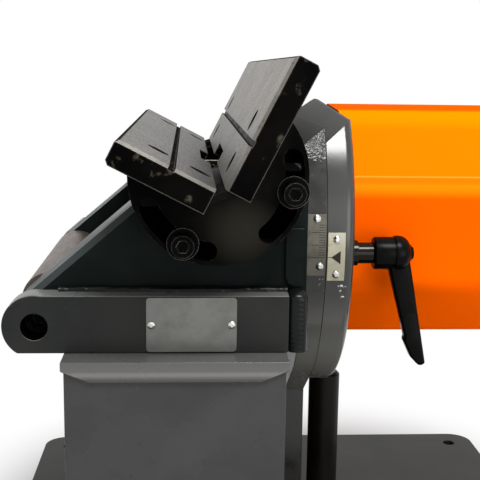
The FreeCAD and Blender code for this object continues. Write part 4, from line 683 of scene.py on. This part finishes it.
# Clamp lever: a turned hub with a seam and a domed end, and a flat-sided arm that ends in a heel and toe.
# The hub's profile is (x, radius), and the arm's outlines are (height, x) and (height, half its depth)
lever = {
    "hub": [(66.2, 6.05), (66.2, 12.6), (66.7, 13.6), (67.6, 14.0), (82.9, 14.0), (83.3, 13.4), (84.1, 13.4),
            (84.6, 14.9), (86.0, 15.2), (89.5, 15.1), (92.5, 14.3), (95.0, 12.6), (96.8, 10.4), (97.8, 8.6),
            (98.3, 7.6), (99.2, 7.2), (99.2, 5.6), (95.0, 5.6), (95.0, 6.05)],
    "hubAround": 96,
    "leftEdge": [(223.0, 109.4), (224.5, 107.6), (230.3, 102.2), (244.8, 95.4), (246.2, 95.2), (248.6, 96.0),
                 (308.6, 80.2), (318.0, 78.0)],
    "rightEdge": [(223.0, 113.4), (223.8, 115.0), (225.4, 115.6), (308.6, 100.0), (318.0, 98.0)],
    "halfDeep": [(223.0, 4.4), (226.0, 6.6), (246.0, 7.4), (270.0, 6.4), (308.6, 7.4), (318.0, 7.5)],
    "rings": 84, "around": 40, "squareness": 0.52,
}


def makeLever():
    # The hub: its profile, closed by its first point, carried round the lever's axis
    gridPiece("leverHub", turnedPoints(lever["hub"] + lever["hub"][:1], leverCentre, lever["hubAround"]),
              "clamp_lever", "black_powder", "powder", caps=False, replaced=("clamp_lever",))
    # The arm: superellipse rings down the drop, their edges and depths read off the outlines
    height = np.linspace(lever["leftEdge"][-1][0], lever["leftEdge"][0][0], lever["rings"])
    left = np.interp(height, *np.array(lever["leftEdge"]).T)
    right = np.interp(height, *np.array(lever["rightEdge"]).T)
    deep = np.interp(height, *np.array(lever["halfDeep"]).T)
    outX, outY = squaredOff(np.linspace(0, 2 * np.pi, lever["around"], endpoint=False), lever["squareness"])
    points = np.stack([((left + right)[:, None] + (right - left)[:, None] * outX) / 2 * mm,
                       leverCentre[1] + deep[:, None] * outY * mm,
                       np.repeat(height[:, None], lever["around"], axis=1) * mm], axis=-1)
    gridPiece("leverArm", points, "clamp_lever", "black_powder", "powder")


makeLever()

# Welds: a thick rippled bead down each corner between bar and flange, and a thin one along each ledge.
# Tip is the least share that a crown's last ring shrinks to, squared. Wander is (depth, length) of slow waves
welds = {
    "corner": {"x": -5.5, "y": 188.4, "halfX": 8.4, "halfY": 11.3, "low": 255.0, "high": 305.0, "crown": 7.0,
               "rings": 90, "around": 36, "squareness": 0.75, "ripple": 0.05, "pitch": 3.8, "bow": 2.0,
               "tip": 0.01},
    "ledge": {"from": -196.0, "to": -13.2, "y": 180.7, "z": 301.5, "radius": 3.6, "rings": 160, "around": 14,
              "ripple": 0.08, "pitch": 5.2, "wander": [(0.3, 7.0), (0.2, 2.9)]},
}


def makeWelds():
    # Corner: superellipse rings up the Z axis that shrink as a quarter circle over the crown, and swell and
    # sink with a sine of the height, bowed round the bead, for the run of the torch
    size = welds["corner"]
    height = np.linspace(size["low"], size["high"], size["rings"])[:, None]
    angle = np.linspace(0, 2 * np.pi, size["around"], endpoint=False)[None, :]
    toEnd = np.clip((size["high"] - height) / size["crown"], 0, 1)
    shrink = np.sqrt(np.clip(1 - (1 - toEnd) ** 2, size["tip"], 1))
    swell = size["ripple"] * np.sin(2 * np.pi * (height + size["bow"] * np.cos(angle)) / size["pitch"])
    outX, outY = squaredOff(angle, size["squareness"])
    for side, name in ((-1, "cornerWeldFront"), (1, "cornerWeldRear")):
        points = np.stack(np.broadcast_arrays(
            (size["x"] + (size["halfX"] * shrink + swell) * outX) * mm,
            (side * size["y"] + ((size["halfY"] - size["ripple"]) * shrink + swell) * outY) * mm,
            height * mm), axis=-1)
        gridPiece(name, points, "root", "grey_paint", "weld", replaced=("corner_welds",))
    # Ledge: rings along X whose radius swells and sinks with sines of the way along
    size = welds["ledge"]
    along = np.linspace(size["from"], size["to"], size["rings"])[:, None]
    angle = np.linspace(0, 2 * np.pi, size["around"], endpoint=False)[None, :]
    wander = sum(depth * np.sin(along / length) for depth, length in size["wander"])
    radius = size["radius"] + wander + size["ripple"] * np.sin(2 * np.pi * along / size["pitch"])
    for side, name in ((-1, "ledgeWeldFront"), (1, "ledgeWeldRear")):
        points = np.stack(np.broadcast_arrays(
            along * mm, side * (size["y"] + radius * np.cos(angle)) * mm,
            (size["z"] + radius * np.sin(angle)) * mm), axis=-1)
        gridPiece(name, points, "root", "grey_paint", "weld")


makeWelds()

# Ruler and pointer marks, laid on the curved plates: heights are of the middle of each mark, in mm.
# Each fifth mark is long, with its number at its left
scaleMarks = {
    "lowest": 324.5, "pitch": 2.09, "count": 14, "major": 5, "majorLeft": 8.5, "minorLeft": 14.8,
    "right": 20.4, "thick": 0.55, "lift": 1.02, "proud": 0.12, "steps": 8, "digitHigh": 3.0,
    "digitLeft": 6.0, "digitDeep": 0.03, "arrow": [(25.6, 324.5), (33.3, 318.7), (33.3, 330.1)],
    "arrowTip": 0.1, "index": (22.7, 25.9),
}


def onRim(x, z, lift):
    # A point over the flanges' rim: y is the radius's far side at that height above the swivel's axis
    radius = flangeRadius + lift * mm
    far = -np.sqrt(radius ** 2 - (z * mm - swivelCentre[2]) ** 2)
    return np.stack(np.broadcast_arrays(x * mm, far, z * mm), axis=-1)


def rimBar(name, left, right, lowLeft, highLeft, lowRight, highRight, body, slot):
    # A thin slab on the rim: its section goes up the plate and back down, and is carried from left to right
    ends = np.array([[left, lowLeft, highLeft], [right, lowRight, highRight]])
    step = np.linspace(0, 1, scaleMarks["steps"])
    section = np.concatenate([np.stack([step, 0 * step], 1), np.stack([step[::-1], 0 * step + 1], 1)])
    z = ends[:, 1:2] + (ends[:, 2:3] - ends[:, 1:2]) * section[None, :, 0]
    points = onRim(ends[:, 0:1] + 0 * z, z, scaleMarks["lift"] + scaleMarks["proud"] * section[None, :, 1])
    return gridPiece(name, points, body, slot, "ink")


def makeMarks():
    half = scaleMarks["thick"] / 2
    for i in range(scaleMarks["count"]):
        z = scaleMarks["lowest"] + scaleMarks["pitch"] * i
        left = scaleMarks["minorLeft"] if i % scaleMarks["major"] else scaleMarks["majorLeft"]
        rimBar(f"rulerMark{i:02d}", left, scaleMarks["right"], z - half, z + half, z - half, z + half,
               "root", "sheet_aluminium")
    (tip, middle), (base, low), (_, high) = scaleMarks["arrow"]
    blunt = scaleMarks["arrowTip"]
    rimBar("pointerArrow", tip, base, middle - blunt, middle + blunt, low, high,
           "motor_unit", "sheet_aluminium")
    left, right = scaleMarks["index"]
    rimBar("pointerIndex", left, right, middle - half, middle + half, middle - half, middle + half,
           "motor_unit", "sheet_aluminium")


def makeDigits():
    # Plain numbers left of the long marks: flat text given a depth, then bent over the rim with the marks
    for number in range(1 + (scaleMarks["count"] - 1) // scaleMarks["major"]):
        curve = bpy.data.curves.new("digitShape", "FONT")
        curve.body = str(number)
        curve.size = scaleMarks["digitHigh"]
        curve.align_y = "CENTER"
        curve.extrude = scaleMarks["digitDeep"]
        shape = bpy.data.objects.new("digitShape", curve)
        mesh = bpy.data.meshes.new_from_object(shape)
        bpy.data.objects.remove(shape)
        points = np.empty(len(mesh.vertices) * 3)
        mesh.vertices.foreach_get("co", points)
        x, z, deep = points.reshape(-1, 3).T
        z = z + scaleMarks["lowest"] + scaleMarks["pitch"] * scaleMarks["major"] * number
        bent = onRim(x + scaleMarks["digitLeft"], z, scaleMarks["lift"] + scaleMarks["proud"] + deep)
        mesh.vertices.foreach_set("co", bent.ravel())
        closeUp(mesh, meshWork["nearInDigits"])
        mesh.materials.clear()
        mesh.materials.append(finish["ink"])
        settle(link(f"rulerDigit{number}", mesh), "root", "sheet_aluminium")


makeMarks()
makeDigits()
print("details made")

# Floor and light, in metres and watts. Rise and turn are the heights and depths of the sky, from minus one to
# one, that its light comes up between
studio = {
    "floor": 8.0, "floorCorners": 3, "floorTone": "#e6e6e6", "fadeFrom": 0.2, "fadeTo": 0.45,
    "keyPlace": (0.27, -0.95, 1.95), "keyPower": 36, "keySize": 0.62,
    "fillPlace": (1.1, -1.9, 0.35), "fillPower": 22, "fillSize": 1.5, "aim": (0, 0, 0.33),
    "worldTop": 0.5, "worldFront": 0.2, "worldBack": 0.35, "worldRise": (-0.2, 0.9), "worldTurn": (-0.3, 0.8),
}


def seenRay(tree):
    # One for what is looked at, straight, mirrored or through glass; nothing for light that falls on a piece
    seen = add(tree, "ShaderNodeLightPath", {}, {}, "Is Camera Ray")
    for kind in ("Is Glossy Ray", "Is Transmission Ray"):
        ray = add(tree, "ShaderNodeLightPath", {}, {}, kind)
        seen = add(tree, "ShaderNodeMath", {"operation": "MAXIMUM"}, {0: seen, 1: ray})
    return seen


def makeFloor():
    # A flat grid. It keeps the shadow near the object and fades to white paper away from it
    steps = np.linspace(-studio["floor"], studio["floor"], studio["floorCorners"])
    x, y = np.meshgrid(steps, steps)
    index = np.arange(x.size).reshape(x.shape)
    quads = np.stack([index[:-1, :-1], index[:-1, 1:], index[1:, 1:], index[1:, :-1]], axis=-1).reshape(-1, 4)
    mesh = bpy.data.meshes.new("studioFloor")
    mesh.from_pydata(np.stack([x, y, 0 * x], axis=-1).reshape(-1, 3).tolist(), [], quads.tolist())
    material, tree, place = newMaterial("palePaperFloor")
    paper = add(tree, "ShaderNodeBsdfDiffuse", {}, {"Color": colour(studio["floorTone"])})
    white = add(tree, "ShaderNodeEmission", {}, {"Color": (1, 1, 1, 1), "Strength": 1.0})
    away = add(tree, "ShaderNodeVectorMath", {"operation": "LENGTH"}, {0: place}, "Value")
    faded = add(tree, "ShaderNodeMapRange", smooth,
                {"Value": away, "From Min": studio["fadeFrom"], "From Max": studio["fadeTo"]})
    share = add(tree, "ShaderNodeMath", {"operation": "MULTIPLY"}, {0: seenRay(tree), 1: faded})
    mixed = add(tree, "ShaderNodeMixShader", {}, {0: share, 1: paper, 2: white})
    add(tree, "ShaderNodeOutputMaterial", {}, {"Surface": mixed})
    mesh.materials.append(material)
    link("studioFloor", mesh)


def makeWorld():
    # Light from all round, stronger from above and behind, dim from the camera's side, white where it is seen
    world = bpy.data.worlds.new("paleStudio")
    bpy.context.scene.world = world
    world.use_nodes = True
    tree = world.node_tree
    tree.nodes.clear()
    way = add(tree, "ShaderNodeTexCoord", {}, {}, "Generated")
    height = add(tree, "ShaderNodeSeparateXYZ", {}, {0: way}, 2)
    depth = add(tree, "ShaderNodeSeparateXYZ", {}, {0: way}, 1)
    low, high = studio["worldRise"]
    top = add(tree, "ShaderNodeMapRange", smooth,
              {"Value": height, "From Min": low, "From Max": high, "To Min": studio["worldFront"],
               "To Max": studio["worldTop"]})
    near, far = studio["worldTurn"]
    back = add(tree, "ShaderNodeMapRange", smooth,
               {"Value": depth, "From Min": near, "From Max": far, "To Max": studio["worldBack"]})
    strength = add(tree, "ShaderNodeMath", {"operation": "ADD"}, {0: top, 1: back})
    light = add(tree, "ShaderNodeBackground", {}, {"Color": (1, 1, 1, 1), "Strength": strength})
    white = add(tree, "ShaderNodeBackground", {}, {"Color": (1, 1, 1, 1), "Strength": 1.0})
    mixed = add(tree, "ShaderNodeMixShader", {}, {0: seenRay(tree), 1: light, 2: white})
    add(tree, "ShaderNodeOutputWorld", {}, {"Surface": mixed})


def areaLight(name, place, size, power):
    # A square lamp that faces the middle of the machine
    lamp = bpy.data.lights.new(name, "AREA")
    lamp.shape = "SQUARE"
    lamp.size = size
    lamp.energy = power
    holder = bpy.data.objects.new(name, lamp)
    bpy.context.scene.collection.objects.link(holder)
    away = np.array(place, float) - np.array(studio["aim"])
    away /= np.linalg.norm(away)
    side = np.cross([0, 0, 1], away)
    side /= np.linalg.norm(side)
    turn = np.eye(4)
    turn[:3, 0], turn[:3, 1], turn[:3, 2], turn[:3, 3] = side, np.cross(away, side), away, place
    holder.matrix_world = Matrix(turn.tolist())


# Fitted to the photograph: place in metres, then yaw, pitch and roll in degrees, lens and sensor in mm
photoCamera = {"place": (-0.0940, -0.9265, 0.4770), "yaw": 3.24, "pitch": 10.17, "roll": 0.76,
               "lens": 71.25, "sensor": 36}


def makeCamera():
    # Ahead is from the sines and cosines of yaw and pitch, and right and up are turned round it by the roll
    yaw, pitch, roll = (math.radians(photoCamera[name]) for name in ("yaw", "pitch", "roll"))
    ahead = np.array([math.sin(yaw) * math.cos(pitch), math.cos(yaw) * math.cos(pitch), -math.sin(pitch)])
    right = np.array([math.cos(yaw), -math.sin(yaw), 0.0])
    up = np.cross(right, ahead)
    turn = np.eye(4)
    turn[:3, 0] = right * math.cos(roll) + up * math.sin(roll)
    turn[:3, 1] = up * math.cos(roll) - right * math.sin(roll)
    turn[:3, 2] = -ahead
    turn[:3, 3] = photoCamera["place"]
    lens = bpy.data.cameras.new("photoCamera")
    lens.sensor_width = photoCamera["sensor"]
    lens.lens = photoCamera["lens"]
    camera = bpy.data.objects.new("photoCamera", lens)
    bpy.context.scene.collection.objects.link(camera)
    camera.matrix_world = Matrix(turn.tolist())
    bpy.context.scene.camera = camera


makeFloor()
makeWorld()
areaLight("keyOverhead", studio["keyPlace"], studio["keySize"], studio["keyPower"])
areaLight("frontFill", studio["fillPlace"], studio["fillSize"], studio["fillPower"])
makeCamera()
bpy.context.scene.view_settings.view_transform = "Standard"
print("stage, light and camera set")
